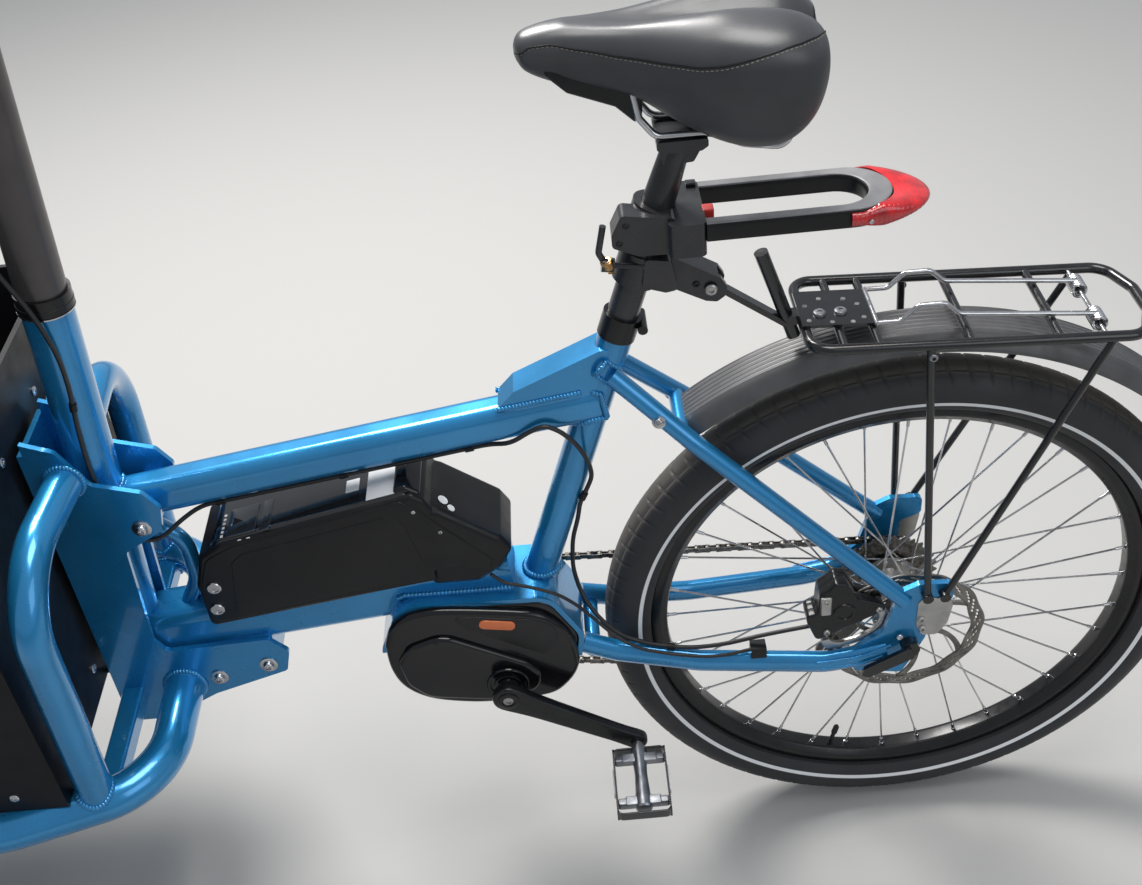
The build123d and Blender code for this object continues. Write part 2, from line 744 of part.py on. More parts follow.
with BuildPart() as rack:
    for side in (1, -1):
        add(bent_tube(
            [point(rack_front[0], side * 8, rack_front[1]), point(rack_front[0], side * rack_half, rack_front[1]),
             point(rack_rear[0], side * rack_half, rack_rear[1]), point(-222, side * 20, rack_z(-222)),
             point(-222, 0, rack_z(-222))],
            [20, 24, 14], rack_r))
        for top_x, foot_x in ((2, -14), (-176, -33)):
            foot_y = dropout_y + dropout_thickness / 2 + seat_clearance
            add(bent_tube([point(top_x, side * rack_half, rack_z(top_x)),
                           point(foot_x, side * (foot_y + 5), strut_foot_z)], None, 4))
            add(cross_rod(foot_x, strut_foot_z, 6, side * (foot_y + 5) + 5, side * (foot_y + 5) - 5))
    add(cross_rod(*rack_front, rack_r, 12, -12))
    for x in (50, 84, -38, -124):
        add(bent_tube([point(x, -rack_half, rack_z(x)), point(x, rack_half, rack_z(x))], None, 4.5))
    add(bent_tube([point(123, 0, rack_front[1] - 22), point(156, 0, rack_front[1] + 77)], None, 7))
    with Locations(point(122, 0, rack_front[1])):
        Box(16, 16, 10)
    # Arm up to the pivot under the lamp bracket
    add(straight_bar(point(arm_pivot[0], 0, arm_pivot[1]), point(132, 0, rack_front[1] - 5), 14, 6, 1))
    add(cross_rod(*arm_pivot, 7, 7, -7))
    add(cross_rod(*arm_pivot, 3, fork_half + 3, -fork_half - 3))
    with Locations(Plane(origin=point(84, 0, rack_z(84) + 6.5), x_dir=(1, 0, 0.056), z_dir=(-0.056, 0, 1))):
        Box(72, 62, 3)

spring_route = [(47.5, 3.7), (24, 3), (8, 19), (-18, 19), (-32, 5), (spring_x, -10)]
with BuildPart() as rack_springs:
    for side in (1, -1):
        add(bent_tube([point(x, side * 30, rack_front[1] + rise) for x, rise in spring_route], [6, 6, 6, 6], 2.5))
        add(cross_rod(spring_x, rack_z(spring_x), 8, side * 30 + 11, side * 30 - 11))
    spring_half = rack_half - rack_r - seat_clearance
    add(cross_rod(spring_x, rack_z(spring_x), 2.5, spring_half, -spring_half))

# Seat

seat_line = Vector(*point(seat_top[0], 0, seat_top[1])) - Vector(*point(seat_foot[0], 0, seat_foot[1]))
seat_line = seat_line.normalized()


def seat_place(distance):
    """Point on the seat tube's axis, measured up from the tube's top."""
    return Vector(*point(seat_top[0], 0, seat_top[1])) + seat_line * distance


saddle_rail_r = 3.5
post_shoulder = 150.0
neck_top_r = 13.2
rail_low_z = 961.0
rail_route = [(318, 8, 1020), (262, 21, 970), (250, 21, 961), (205, 21, 961), (150, 34, 962), (112, 42, 984)]

with BuildPart() as seat_collar:
    with BuildSketch(Plane(origin=seat_place(0.0), z_dir=seat_line)):
        Circle(seat_tube_r + 1.5)
        Circle(seatpost_r + seat_clearance, mode=Mode.SUBTRACT)
    extrude(amount=26)
    with Locations(Plane(origin=seat_place(13) + Vector(-seat_tube_r - 4, 0, 0), z_dir=(0, 1, 0))):
        Cylinder(5, 34)

with BuildPart() as seatpost:
    with BuildSketch(Plane(origin=seat_place(-180), z_dir=seat_line)):
        Circle(seatpost_r)
    extrude(amount=180 + post_shoulder)
    # Tapered neck, and the cradle under the rails
    with BuildSketch(Plane(origin=seat_place(post_shoulder - 0.5), z_dir=seat_line)):
        Circle(seatpost_r)
    with BuildSketch(Plane(origin=seat_place(post_shoulder + 60), z_dir=seat_line)):
        Circle(neck_top_r)
    loft()
    cradle_z = rail_low_z - saddle_rail_r - seat_clearance
    add(side_profile([(252, cradle_z), (206, cradle_z), (206, cradle_z - 7), (212, cradle_z - 11),
                      (246, cradle_z - 11), (252, cradle_z - 7)], 2, 27, -27))
    add(side_profile([(250, cradle_z - 8), (206, cradle_z - 8), (218, 928), (246, 926)], 3, 11, -11))

with BuildPart() as saddle:
    sections = [
        # (X, half width, bottom Z, top Z)
        (366, 14, 1024, 1050), (330, 24, 1012, 1064), (265, 36, 1000, 1068), (205, 68, 968, 1070),
        (160, 76, 952, 1072), (125, 68, 966, 1073), (104, 54, 1000, 1066),
    ]
    for x, half, low, high in sections:
        with BuildSketch(Plane(origin=point(x, 0, (low + high) / 2), x_dir=(0, 1, 0), z_dir=(1, 0, 0))):
            RectangleRounded(2 * half, high - low, 12)
    loft(ruled=True)
    # Sockets for the rails
    for side in (1, -1):
        add(bent_tube([point(x, side * y, z) for x, y, z in rail_route], [8, 8, 12, 12],
                      saddle_rail_r + seat_clearance), mode=Mode.SUBTRACT)
        add(bent_tube([point(318, side * 8, 1020), point(326, side * 8, 1027)], None,
                      saddle_rail_r + seat_clearance), mode=Mode.SUBTRACT)
        add(bent_tube([point(112, side * 42, 984), point(106, side * 43.3, 987.5)], None,
                      saddle_rail_r + seat_clearance), mode=Mode.SUBTRACT)

with BuildPart() as saddle_rails:
    for side in (1, -1):
        add(bent_tube([point(x, side * y, z) for x, y, z in rail_route], [8, 8, 12, 12], saddle_rail_r))

carrier_low_z = 860.0
carrier_height = 20.0
carrier_half = 41.0
carrier_bar = 12.0
carrier_bend_x = 65.0
carrier_front_x = 211.0
with BuildPart() as lamp_bracket:
    # Clamp rings round the post
    for low, high, ring_r in ((66, 100, 22), (66, 150, 19.5), (112, 150, 24)):
        with BuildSketch(Plane(origin=seat_place(low), z_dir=seat_line)):
            Circle(ring_r)
        extrude(amount=high - low)
    # Near clamp half, block for the loop's arms, and rear block with its fork
    add(side_profile([(288, 891), (298, 871), (298, 858), (274, 847), (240, 846), (238, 884), (250, 884)], 5, 31, 6))
    with BuildSketch(Plane.XY.offset(carrier_low_z - 13)):
        with Locations(point((carrier_front_x + 246) / 2, 0, 0)):
            RectangleRounded(246 - carrier_front_x, 2 * carrier_half + 3, 7)
    extrude(amount=carrier_height + 14)
    add(side_profile([(268, 838), (244, 834), (238, 802), (250, 800), (272, 808)], 4, 24, -24))
    add(side_profile([(250, 834), (238, 830), (196, 804), (190, 794), (192, 784), (200, 778), (211, 780), (250, 802)],
                     4, fork_half, -fork_half))
    # Clamp bolt with its lever
    add(bent_tube([point(303, 21, 835), point(255, 21, 827)], None, 2.8))
    add(bent_tube([point(297, 21, 834), point(309, 21, 836)], None, 7))
    add(bent_tube([point(306, 21, 838), point(311, 23, 850), point(305, 23, 878)], [8], 3.2))
    with BuildSketch(Plane(origin=seat_place(0), z_dir=seat_line)):
        Circle(seatpost_r + seat_clearance)
    extrude(amount=200, mode=Mode.SUBTRACT)
    # Slot and bolt hole for the rack's arm
    with BuildSketch(side_plane(7.3)):
        with Locations((ahead(arm_pivot[0] - 10), arm_pivot[1] - 6)):
            Rectangle(44, 34)
    extrude(amount=14.6, mode=Mode.SUBTRACT)
    add(cross_rod(*arm_pivot, 3.1, 60, -60), mode=Mode.SUBTRACT)

with BuildPart() as carrier_loop:
    straight_length = carrier_front_x - seat_clearance - carrier_bend_x
    with BuildSketch(Plane.XY.offset(carrier_low_z)):
        for half, mode in ((carrier_half, Mode.ADD), (carrier_half - carrier_bar, Mode.SUBTRACT)):
            with Locations(point(carrier_bend_x, 0, 0)):
                Circle(half, mode=mode)
                Rectangle(straight_length, 2 * half, align=(Align.MIN, Align.CENTER), mode=mode)
    extrude(amount=carrier_height)

with BuildPart() as tail_lamp:
    with BuildSketch(Plane.XY.offset(carrier_low_z - 2)):
        Polygon(
            point(76, 47, 0), point(34, 42, 0), point(10, 26, 0), point(-2, 0, 0), point(10, -26, 0),
            point(34, -42, 0), point(76, -47, 0), align=None)
        with Locations(point(carrier_bend_x, 0, 0)):
            Circle(carrier_half + seat_clearance, mode=Mode.SUBTRACT)
            Rectangle(60, 2 * (carrier_half + seat_clearance), align=(Align.MIN, Align.CENTER), mode=Mode.SUBTRACT)
    extrude(amount=carrier_height + 4)


# Steering column

mast_r = 24.0
mast_top_z = 1166.0
column_r = 15.0
cup_r = 27.0
cup_height = 11.0
bearing_height = 12.0
column_drum_z = 352.0
cable_z = 359.0
with BuildPart() as headset:
    with BuildSketch(Plane(origin=column_point(head_top[1]), z_dir=column_dir)):
        Circle(cup_r)
        Circle(column_r + running_clearance, mode=Mode.SUBTRACT)
    extrude(amount=cup_height)
    for z in (head_top[1] - bearing_height, head_bottom_z + 2):
        with BuildSketch(Plane(origin=column_point(z), z_dir=column_dir)):
            Circle(head_bore_r)
            Circle(column_r + running_clearance, mode=Mode.SUBTRACT)
        extrude(amount=bearing_height)

with BuildPart() as steering_column:
    mast_foot_z = head_top[1] + cup_height + seat_clearance
    for low, high, radius in (
            (column_drum_z, mast_foot_z + 1, column_r), (mast_foot_z, mast_top_z, mast_r),
            (column_drum_z, column_drum_z + drum_thickness, drum_r)):
        with BuildSketch(Plane(origin=column_point(low), z_dir=column_dir)):
            Circle(radius)
        extrude(amount=(high - low) / column_dir.Z)

bar_r = 11.1
stem_low_z = mast_top_z - 36
stem_z = mast_top_z - 16
bar_x = head_x(stem_z) + 58
bar_z = mast_top_z + 9
bar_route = [(bar_x, 0, bar_z), (bar_x - 5, 60, bar_z), (bar_x - 35, 190, bar_z + 20), (bar_x - 77, 332, bar_z + 12)]
with BuildPart() as handlebar:
    add(bent_tube([point(head_x(stem_z), 0, stem_z), point(*bar_route[0])], None, 15))
    with BuildSketch(Plane(origin=column_point(stem_low_z), z_dir=column_dir)):
        Circle(mast_r + 7)
    extrude(amount=mast_top_z - stem_low_z + 4)
    with BuildSketch(Plane(origin=column_point(stem_low_z - 20), z_dir=column_dir)):
        Circle(mast_r + seat_clearance)
    extrude(amount=mast_top_z - stem_low_z + 20 + seat_clearance, mode=Mode.SUBTRACT)
    for side in (1, -1):
        add(bent_tube([point(x, side * y, z) for x, y, z in bar_route], [60, 90], bar_r))

grip_length = 104.0
grip_r = 16.0
with BuildPart() as grips:
    for side in (1, -1):
        inner = Vector(*point(bar_route[2][0], side * bar_route[2][1], bar_route[2][2]))
        tip = Vector(*point(bar_route[3][0], side * bar_route[3][1], bar_route[3][2]))
        along = (tip - inner).normalized()
        with BuildSketch(Plane(origin=tip - along * (grip_length - 4), z_dir=along)):
            Circle(grip_r)
        extrude(amount=grip_length)
        with BuildSketch(Plane(origin=tip - along * grip_length, z_dir=along)):
            Circle(bar_r + seat_clearance)
        extrude(amount=grip_length + seat_clearance, mode=Mode.SUBTRACT)

with BuildPart() as brake_levers:
    for side in (1, -1):
        inner = Vector(*point(bar_route[2][0], side * bar_route[2][1], bar_route[2][2]))
        tip = Vector(*point(bar_route[3][0], side * bar_route[3][1], bar_route[3][2]))
        along = (tip - inner).normalized()
        clamp_start = inner + along * 18
        hinge = clamp_start + along * 9 + Vector(28, 0, -4)
        add(bent_tube([clamp_start + along * 9, hinge + Vector(10, 0, -1)], None, 8))
        add(bent_tube([hinge, hinge + along * 26 + Vector(16, 0, -4), hinge + along * 116 + Vector(8, 0, -4)],
                      [22], 5))
        with BuildSketch(Plane(origin=clamp_start, z_dir=along)):
            Circle(bar_r + 6)
        extrude(amount=18)
        with BuildSketch(Plane(origin=clamp_start - along * 8, z_dir=along)):
            Circle(bar_r + seat_clearance)
        extrude(amount=40, mode=Mode.SUBTRACT)

# Clamp bracket: one plate bent round the front of the head tube

plate_outline = [
    (903, 704), (872, 690), (848, 644), (800, 628), (786, 606), (792, 576), (838, 550),
    (846, 414), (836, 396), (720, 400), (700, 378), (708, 348), (797, 320), (862, 286), (903, 286),
]
bracket_low_z = 286.0
bracket_high_z = 690.0
cable_y = 23.5
housing_r = 3.5
with BuildPart() as clamp_bracket:
    for high in (plate_outer_y, -plate_outer_y + plate_thickness):
        with BuildSketch(side_plane(high)) as plate:
            Polygon(*side_points(*plate_outline), align=None)
            fillet(plate.vertices().filter_by_position(Axis.X, ahead(690), ahead(880)), 7)
        extrude(amount=plate_thickness)
    with BuildSketch(Plane.YZ.offset(ahead(bracket_front_x - plate_thickness))):
        with Locations((0, (bracket_low_z + bracket_high_z) / 2)):
            Rectangle(2 * plate_outer_y, bracket_high_z - bracket_low_z)
        with Locations((cable_y, cable_z), (-cable_y, cable_z)):
            Circle(housing_r + seat_clearance, mode=Mode.SUBTRACT)
    extrude(amount=plate_thickness)

# Cargo cradle: rails, braces, cross tubes, front hoop and front head tube

rail_corner_y = 180.0
rail_taper_x = 992.0
neck_r = 18.0
stop_x = wheelbase - 226.0
stop_z = 566.0
with BuildPart() as cargo_cradle:
    for side in (1, -1):
        inside = side * (plate_outer_y - 2)
        add(bent_tube([
            point(rail_root_x, inside, rail_z), point(rail_root_x, side * rail_corner_y, rail_z),
            point(rail_taper_x, side * rail_y, rail_z), point(rail_front_x, side * rail_y, rail_z),
            point(hoop_top[0], side * rail_y, hoop_top[1]), point(hoop_top[0], 0, hoop_top[1])],
            [88, 200, 80, 90], rail_r))
        add(bent_tube([
            point(872, inside, 653), point(882, side * 199, 656), point(893, side * 198, rail_z)],
            [84], brace_r))
        with BuildSketch(Plane.XZ.offset(-inside)):
            with Locations((ahead(890), cross_z)):
                RectangleRounded(cross_size, cross_size, 4)
        extrude(amount=-side * 155)
    for x in (rear_cross_x, stand_x, front_cross_x):
        with Locations(point(x, 0, deck_tube_z)):
            Box(cross_size, 2 * rail_y, cross_size)
    with Locations(point(860, 0, 500)):
        Box(110, 2 * plate_outer_y, 500, mode=Mode.SUBTRACT)
    # Neck and front head tube
    add(bent_tube([fork_point(front_head_low_z), fork_point(front_head_high_z)], None, front_head_r))
    add(bent_tube([point(hoop_top[0], 0, hoop_top[1]), fork_point(622)], None, neck_r))
    for side in (1, -1):
        add(bent_tube([point(hoop_top[0], side * 90, hoop_top[1]), fork_point(682)], None, 13))
    with Locations(point(stop_x, 0, 584)):
        Box(8, 2 * cable_y + 14, 44)
    with BuildSketch(Plane(origin=fork_point(front_head_low_z - 10), z_dir=fork_dir)):
        Circle(front_head_bore_r)
    extrude(amount=200, mode=Mode.SUBTRACT)
    # Stand ears under the middle cross tube
    for side in (1, -1):
        high = side * ear_y + ear_thickness / 2
        add(side_profile([(stand_x - 16, deck_tube_z - 8), (stand_x - 16, 282), (stand_x - 6, 270),
                          (stand_x + 6, 270), (stand_x + 16, 282), (stand_x + 16, deck_tube_z - 8)],
                         4, high, high - ear_thickness))
    add(cross_rod(stand_x, stand_z, stand_pin_r + running_clearance, 200, -200), mode=Mode.SUBTRACT)
    for side in (1, -1):
        with BuildSketch(Plane.YZ.offset(ahead(stop_x - 10))):
            with Locations((side * cable_y, stop_z)):
                Circle(2)
        extrude(amount=20, mode=Mode.SUBTRACT)

# Cargo box panels

floor_z = deck_z
box_inner = box_half_width - panel
with BuildPart() as box_floor_panel:
    with Locations(point((box_rear_x + panel + box_front_low_x - panel) / 2, 0, floor_z + box_floor / 2)):
        Box(box_front_low_x - box_rear_x - 2 * panel, 2 * box_inner, box_floor)

with BuildPart() as box_rear_panel:
    with Locations(point(box_rear_x + panel / 2, 0, (floor_z + box_top_z) / 2)):
        Box(panel, 2 * box_half_width, box_top_z - floor_z)

with BuildPart() as box_front_panel:
    add(side_profile([
        (box_front_low_x - panel, floor_z), (box_front_low_x, floor_z),
        (box_front_high_x, box_top_z - box_step), (box_front_high_x - panel, box_top_z - box_step)],
        0, box_inner, -box_inner))

side_outline = [
    (box_rear_x + panel, floor_z), (box_front_low_x, floor_z),
    (box_front_high_x, box_top_z - box_step), (box_front_high_x - 238, box_top_z - box_step),
    (box_front_high_x - 318, box_top_z), (box_rear_x + panel, box_top_z),
]
with BuildPart() as box_side_panels:
    add(side_profile(side_outline, 0, box_half_width, box_inner))
    add(side_profile(side_outline, 0, -box_inner, -box_half_width))

# Fork, front guard and front brake

steerer_r = 14.0
leg_r = 13.0
leg_y = 63.5
leg_inner_y = 50.0
crown_z = 560.0
crown_thickness = 18.0
front_brake_y = front_rotor_y
with BuildPart() as front_fork:
    with BuildSketch(Plane(origin=fork_point(crown_z), z_dir=fork_dir)):
        Circle(steerer_r)
    extrude(amount=(front_head_high_z + 12 - crown_z) / fork_dir.Z)
    with BuildSketch(Plane(origin=fork_point(crown_z), z_dir=fork_dir)):
        Circle(drum_r)
    extrude(amount=drum_thickness)
    with BuildSketch(Plane(origin=fork_point(crown_z - crown_thickness * fork_dir.Z), x_dir=(0, 1, 0), z_dir=fork_dir)):
        RectangleRounded(2 * (leg_y + leg_r), 36, 14)
    extrude(amount=crown_thickness + 1)
    for side in (1, -1):
        add(bent_tube([fork_point(crown_z - 8) + Vector(0, side * leg_y, 0),
                       fork_point(330) + Vector(4, side * leg_y, 0), point(wheelbase, side * leg_y, front_z)],
                      [120], leg_r))
        add(cross_rod(wheelbase, front_z, 17, side * (leg_inner_y + 6) + 6, side * (leg_inner_y + 6) - 6))
    add(side_profile(front_places((-92, 14), (-92, 62), (-60, 76), (-30, 76), (-30, 32)), 6, 57, 51))
    add(cross_rod(wheelbase, front_z, axle_r + running_clearance, 100, -100), mode=Mode.SUBTRACT)

with BuildPart() as front_axle:
    nut_y = leg_y + leg_r + seat_clearance
    add(cross_rod(wheelbase, front_z, axle_r, nut_y + 2, -nut_y - 2))
    for side in (1, -1):
        add(cross_rod(wheelbase, front_z, 9, side * (nut_y + 4.5) + 4.5, side * (nut_y + 4.5) - 4.5))

with BuildPart() as front_headset:
    with BuildSketch(Plane(origin=fork_point(front_head_high_z), z_dir=fork_dir)):
        Circle(front_head_r + 1)
        Circle(steerer_r + running_clearance, mode=Mode.SUBTRACT)
    extrude(amount=9)
    for z in (front_head_low_z + 2, front_head_high_z - 12):
        with BuildSketch(Plane(origin=fork_point(z), z_dir=fork_dir)):
            Circle(front_head_bore_r)
            Circle(steerer_r + running_clearance, mode=Mode.SUBTRACT)
        extrude(amount=10)

front_guard_start = 62.0
front_guard_end = 205.0
with BuildPart() as front_mudguard:
    start = radians(front_guard_start)
    plane = Plane(origin=point(wheelbase, 0, front_z), x_dir=(0, 1, 0), z_dir=(sin(start), 0, -cos(start)))
    with BuildSketch(plane):
        with BuildLine():
            FilletPolyline((-31, front_guard_r - 16), (-22, front_guard_r), (22, front_guard_r),
                           (31, front_guard_r - 16), radius=8)
            offset(amount=guard_thickness, side=Side.RIGHT, closed=True)
        make_face()
    revolve(axis=Axis(point(wheelbase, 0, front_z), (0, -1, 0)), revolution_arc=front_guard_end - front_guard_start)
    # Bracket up to the fork's crown
    crown_low = fork_point(crown_z - crown_thickness * fork_dir.Z) - fork_dir * seat_clearance
    with BuildSketch(Plane(origin=crown_low, x_dir=(0, 1, 0), z_dir=-fork_dir)):
        Rectangle(22, 4)
    extrude(amount=46)

with BuildPart() as front_caliper:
    add(side_profile(front_places((-108, 8), (-108, 58), (-92, 70), (-64, 64), (-60, 26), (-76, 2)), 6, 50.7, 30))
    with BuildSketch(side_plane(front_brake_y + 3)):
        with Locations((ahead(wheelbase), front_z)):
            Circle(rotor_r + 3)
    extrude(amount=6, mode=Mode.SUBTRACT)

# Stand

leg_root_y = 126.0
foot_x = stand_x + 34.0
with BuildPart() as stand:
    journal_half = ear_y - ear_thickness / 2 - seat_clearance
    add(cross_rod(stand_x, stand_z, stand_tube_r, journal_half, -journal_half))
    add(cross_rod(stand_x, stand_z, stand_pin_r, ear_y + 8, -ear_y - 8))
    for side in (1, -1):
        add(bent_tube([point(stand_x, side * leg_root_y, stand_z), point(stand_x + 18, side * 160, 150),
                       point(foot_x, side * stand_spread, 14)], [200], stand_tube_r))
        with BuildSketch(Plane.XY):
            with Locations(point(foot_x, side * (stand_spread + 2), 0)):
                RectangleRounded(44, 40, 8)
        extrude(amount=16)

# Steering cables: housings from the bracket to the stop under the neck, and bare ends to the drums

cable_route = [
    # (X, Y, Z)
    (906, 23.5, 359), (950, 23.5, 356), (1006, 27, 326), (1130, 33, 320), (1300, 38, 319),
    (wheelbase - 404, 34, 321), (wheelbase - 330, 30, 352), (wheelbase - 308, 27, 440), (wheelbase - 294, 25, 520),
    (stop_x - 6, 23.5, 564),
]
with BuildPart() as steering_cables:
    for side in (1, -1):
        add(bent_tube([point(x, side * y, z) for x, y, z in cable_route], [70, 60, 200, 400, 200, 50, 150, 60],
                      housing_r))
        add(bent_tube([point(884, side * cable_y, cable_z), point(910, side * cable_y, cable_z)], None, 1.2))
        add(bent_tube([point(stop_x - 6, side * 24, 565), point(stop_x + 56, side * cable_y, stop_z + 1)], None, 1.2))

# Brake hose and sensor lead

hose_r = 2.5
lead_r = 2.0
clip_wall = 1.1
clip_clearance = 0.3
clip_length = 9.0
clip_r = hose_r + clip_clearance + clip_wall
tube_under = clip_clearance + clip_r
hose_meet = (858, 33.5, 893)


def under_top_tube(x, y):
    """Point just below the top tube, low enough for a clip."""
    share = (top_tube_front[0] - x) / (top_tube_front[0] - top_tube_rear[0])
    middle = top_tube_front[1] + share * (top_tube_rear[1] - top_tube_front[1])
    return (x, y, middle - top_tube_height / 2 * 1.011 - tube_under)


hose_route = [
    # (X, Y, Z) down the head tube, under the top tube, round the seat tube and along the stay
    hose_meet, (842, 33, 850), (834, 30.5, 800), (836.5, 28, 757), (843, 28.2, 715), (848, 29.3, 650),
    (840, 29.3, 590), (828, 29, 556), (804, 24, 550), (780, 14, 566), under_top_tube(756, 8),
    under_top_tube(440, 8), (418, 22, 634), (396, 25.5, 650), (380, 25.5, 656), (364, 27, 647), (348, 28, 627), (339, 25, 602), (337, 18, 577), (344, 14, 557), (353, 15, 539),
    (357, 9, 512), (366, 4, 477), (369, 4, 435), (365, 10, 411), (358, 20, 395), (344, 32, 376), (322, 46, 360),
    (288, 51.5, 347.5), (245, 56, 340.3), (205, 60, 346), (166, 62, 357), (130, 63.5, 364), (108.2, 64, 367.5),
]
lead_route = [
    # (X, Y, Z) from the battery's shoe to the sensor on the stay
    (457.8, 40, 469.7), (446, 41, 456), (416, 43, 447), (388, 44, 434), (368, 41, 411), (352, 42, 390),
    (334, 48, 370), (318, 53, 357), (300, 57.5, 347.5), (262, 62.5, 338.5), (225, 66, 334), (200, 67, 336),
    (178, 66, 340),
]
with BuildPart() as control_cables:
    for route, cord_r in ((hose_route, hose_r), (lead_route, lead_r)):
        places = [point(*place) for place in route]
        bends = cord_bends(places)
        print("cord bends", [round(bend) for bend in bends])
        add(bent_tube(places, bends, cord_r))

bar_hose_route = [
    (874.4, 215.8, bar_z + 13.3), (904, 192, bar_z + 8), (930, 147, bar_z - 14), (941, 100, bar_z - 60),
    (931, 62, bar_z - 115), (905, 42, 1000), (875.5, 34, 940), (858.2, 33.5, 893.5),
]
with BuildPart() as bar_hose:
    places = [point(*place) for place in bar_hose_route]
    bends = cord_bends(places)
    print("cord bends", [round(bend) for bend in bends])
    add(bent_tube(places, bends, hose_r))

with BuildPart() as cable_clips:
    for index, share in ((3, 0.5), (10, 0.07), (10, 0.5), (10, 0.93), (19, 0.5), (28, 0.5)):
        start = Vector(*point(*hose_route[index]))
        along = Vector(*point(*hose_route[index + 1])) - start
        middle = start + along * share
        low = middle - along.normalized() * (clip_length / 2)
        with BuildSketch(Plane(origin=low, z_dir=along)):
            Circle(clip_r)
            Circle(hose_r + clip_clearance, mode=Mode.SUBTRACT)
        extrude(amount=clip_length)
    # Wheel sensor on the stay
    with Locations(point(168.8, 65.5, 339.4)):
        Box(17.6, 15, 15)

parts = {
    "rear_tyre": rear_tyre, "rear_rim": rear_rim, "rear_hub": rear_hub, "rear_rotor": rear_rotor,
    "cassette": cassette, "front_tyre": front_tyre, "front_rim": front_rim, "front_hub": front_hub,
    "front_rotor": front_rotor, "rear_frame": rear_frame, "rear_axle": rear_axle,
    "motor_housing": motor_housing, "battery_case": battery_case, "crank_arms": crank_arms,
    "chainring": chainring, "pedal_left": pedal_left, "pedal_right": pedal_right, "chain": chain,
    "derailleur": derailleur, "rear_caliper": rear_caliper, "battery_mount": battery_mount,
    "rear_mudguard": rear_mudguard, "rack": rack, "rack_springs": rack_springs,
    "seat_collar": seat_collar, "seatpost": seatpost, "saddle": saddle, "saddle_rails": saddle_rails,
    "lamp_bracket": lamp_bracket, "carrier_loop": carrier_loop, "tail_lamp": tail_lamp,
    "headset": headset, "steering_column": steering_column, "handlebar": handlebar, "grips": grips,
    "brake_levers": brake_levers, "clamp_bracket": clamp_bracket, "cargo_cradle": cargo_cradle,
    "box_floor_panel": box_floor_panel, "box_rear_panel": box_rear_panel, "box_front_panel": box_front_panel,
    "box_side_panels": box_side_panels, "front_fork": front_fork, "front_caliper": front_caliper,
    "front_axle": front_axle, "front_headset": front_headset, "front_mudguard": front_mudguard,
    "stand": stand, "steering_cables": steering_cables, "control_cables": control_cables,
    "bar_hose": bar_hose, "cable_clips": cable_clips,
}
os.makedirs("parts", exist_ok=True)
for name, piece in parts.items():
    piece.part.label = name
    export_step(piece.part, f"parts/{name}.step")
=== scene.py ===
"""Looks of an electric cargo bicycle with a load box ahead of the rider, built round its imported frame."""

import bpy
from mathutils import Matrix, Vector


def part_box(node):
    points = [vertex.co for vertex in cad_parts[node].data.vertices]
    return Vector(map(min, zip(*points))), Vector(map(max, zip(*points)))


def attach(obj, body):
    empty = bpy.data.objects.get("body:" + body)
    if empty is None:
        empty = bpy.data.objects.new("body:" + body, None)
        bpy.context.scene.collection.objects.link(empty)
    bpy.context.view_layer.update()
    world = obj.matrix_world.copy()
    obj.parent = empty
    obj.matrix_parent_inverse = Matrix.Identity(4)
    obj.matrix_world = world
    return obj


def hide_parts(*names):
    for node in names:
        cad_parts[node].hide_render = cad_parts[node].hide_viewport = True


bl_info = {
    "name": "Cargo bicycle pieces",
    "version": (1, 0, 0),
    "blender": (4, 5, 0),
    "location": "3D View > Sidebar > Cargo bicycle",
    "description": "Wheels, drive, battery, saddle, rack, cables and trim for the cargo bicycle's frame",
    "category": "Add Mesh",
}

from math import cos, pi, radians, sin, tau

import bmesh
import bpy
import numpy as np
from mathutils import Matrix, Vector

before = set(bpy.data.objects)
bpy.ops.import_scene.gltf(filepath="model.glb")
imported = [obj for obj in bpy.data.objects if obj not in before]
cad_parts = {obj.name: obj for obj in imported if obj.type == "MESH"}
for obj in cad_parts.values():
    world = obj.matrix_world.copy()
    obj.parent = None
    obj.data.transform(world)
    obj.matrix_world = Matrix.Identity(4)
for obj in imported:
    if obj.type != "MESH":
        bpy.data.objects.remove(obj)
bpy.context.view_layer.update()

# Places are in millimetres: X ahead of the rear axle, Y to the rider's left, Z above the floor.
MM = 0.001


def box_middle(node, axis):
    """Middle of a node's box along one axis, in metres."""
    low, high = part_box(node)
    return (getattr(low, axis) + getattr(high, axis)) / 2


AXLE_X = box_middle("rear_rim", "x")
AXLES = {
    "rear": (0.0, box_middle("rear_tyre", "z") / MM),
    "front": ((box_middle("front_rim", "x") - AXLE_X) / MM, box_middle("front_tyre", "z") / MM),
}
BRACKET = np.array([456.0, 320.0])
BRACKET_PLACE = (BRACKET[0], 0, BRACKET[1])
CRANK_REACH = 170 * np.array([cos(radians(33.5)), sin(radians(33.5))])
PEDALS = {"left": (*(BRACKET - CRANK_REACH), 1), "right": (*(BRACKET + CRANK_REACH), -1)}
CAMERA_PLACE = (0.32912, 1.13720, 1.51481)
CAMERA_AXES = (
    # right, down, forward
    (-0.995397, 0.044148, -0.085059), (0.094037, 0.621006, -0.778144), (0.018468, -0.782561, -0.622300),
)
SEAT_TOP = np.array([300.0, 0.0, 742.0])
SEAT_FOOT = np.array([410.0, 0.0, 420.0])


# Shapes


def unit(v):
    """Vectors divided by their lengths."""
    v = np.asarray(v, float)
    return v / np.linalg.norm(v, axis=-1, keepdims=True)


def ring(radius, sides=24):
    """Circle of a radius: (r cos t, r sin t) for equal steps of t."""
    t = np.arange(sides) * tau / sides
    return radius * np.stack([np.cos(t), np.sin(t)], 1)


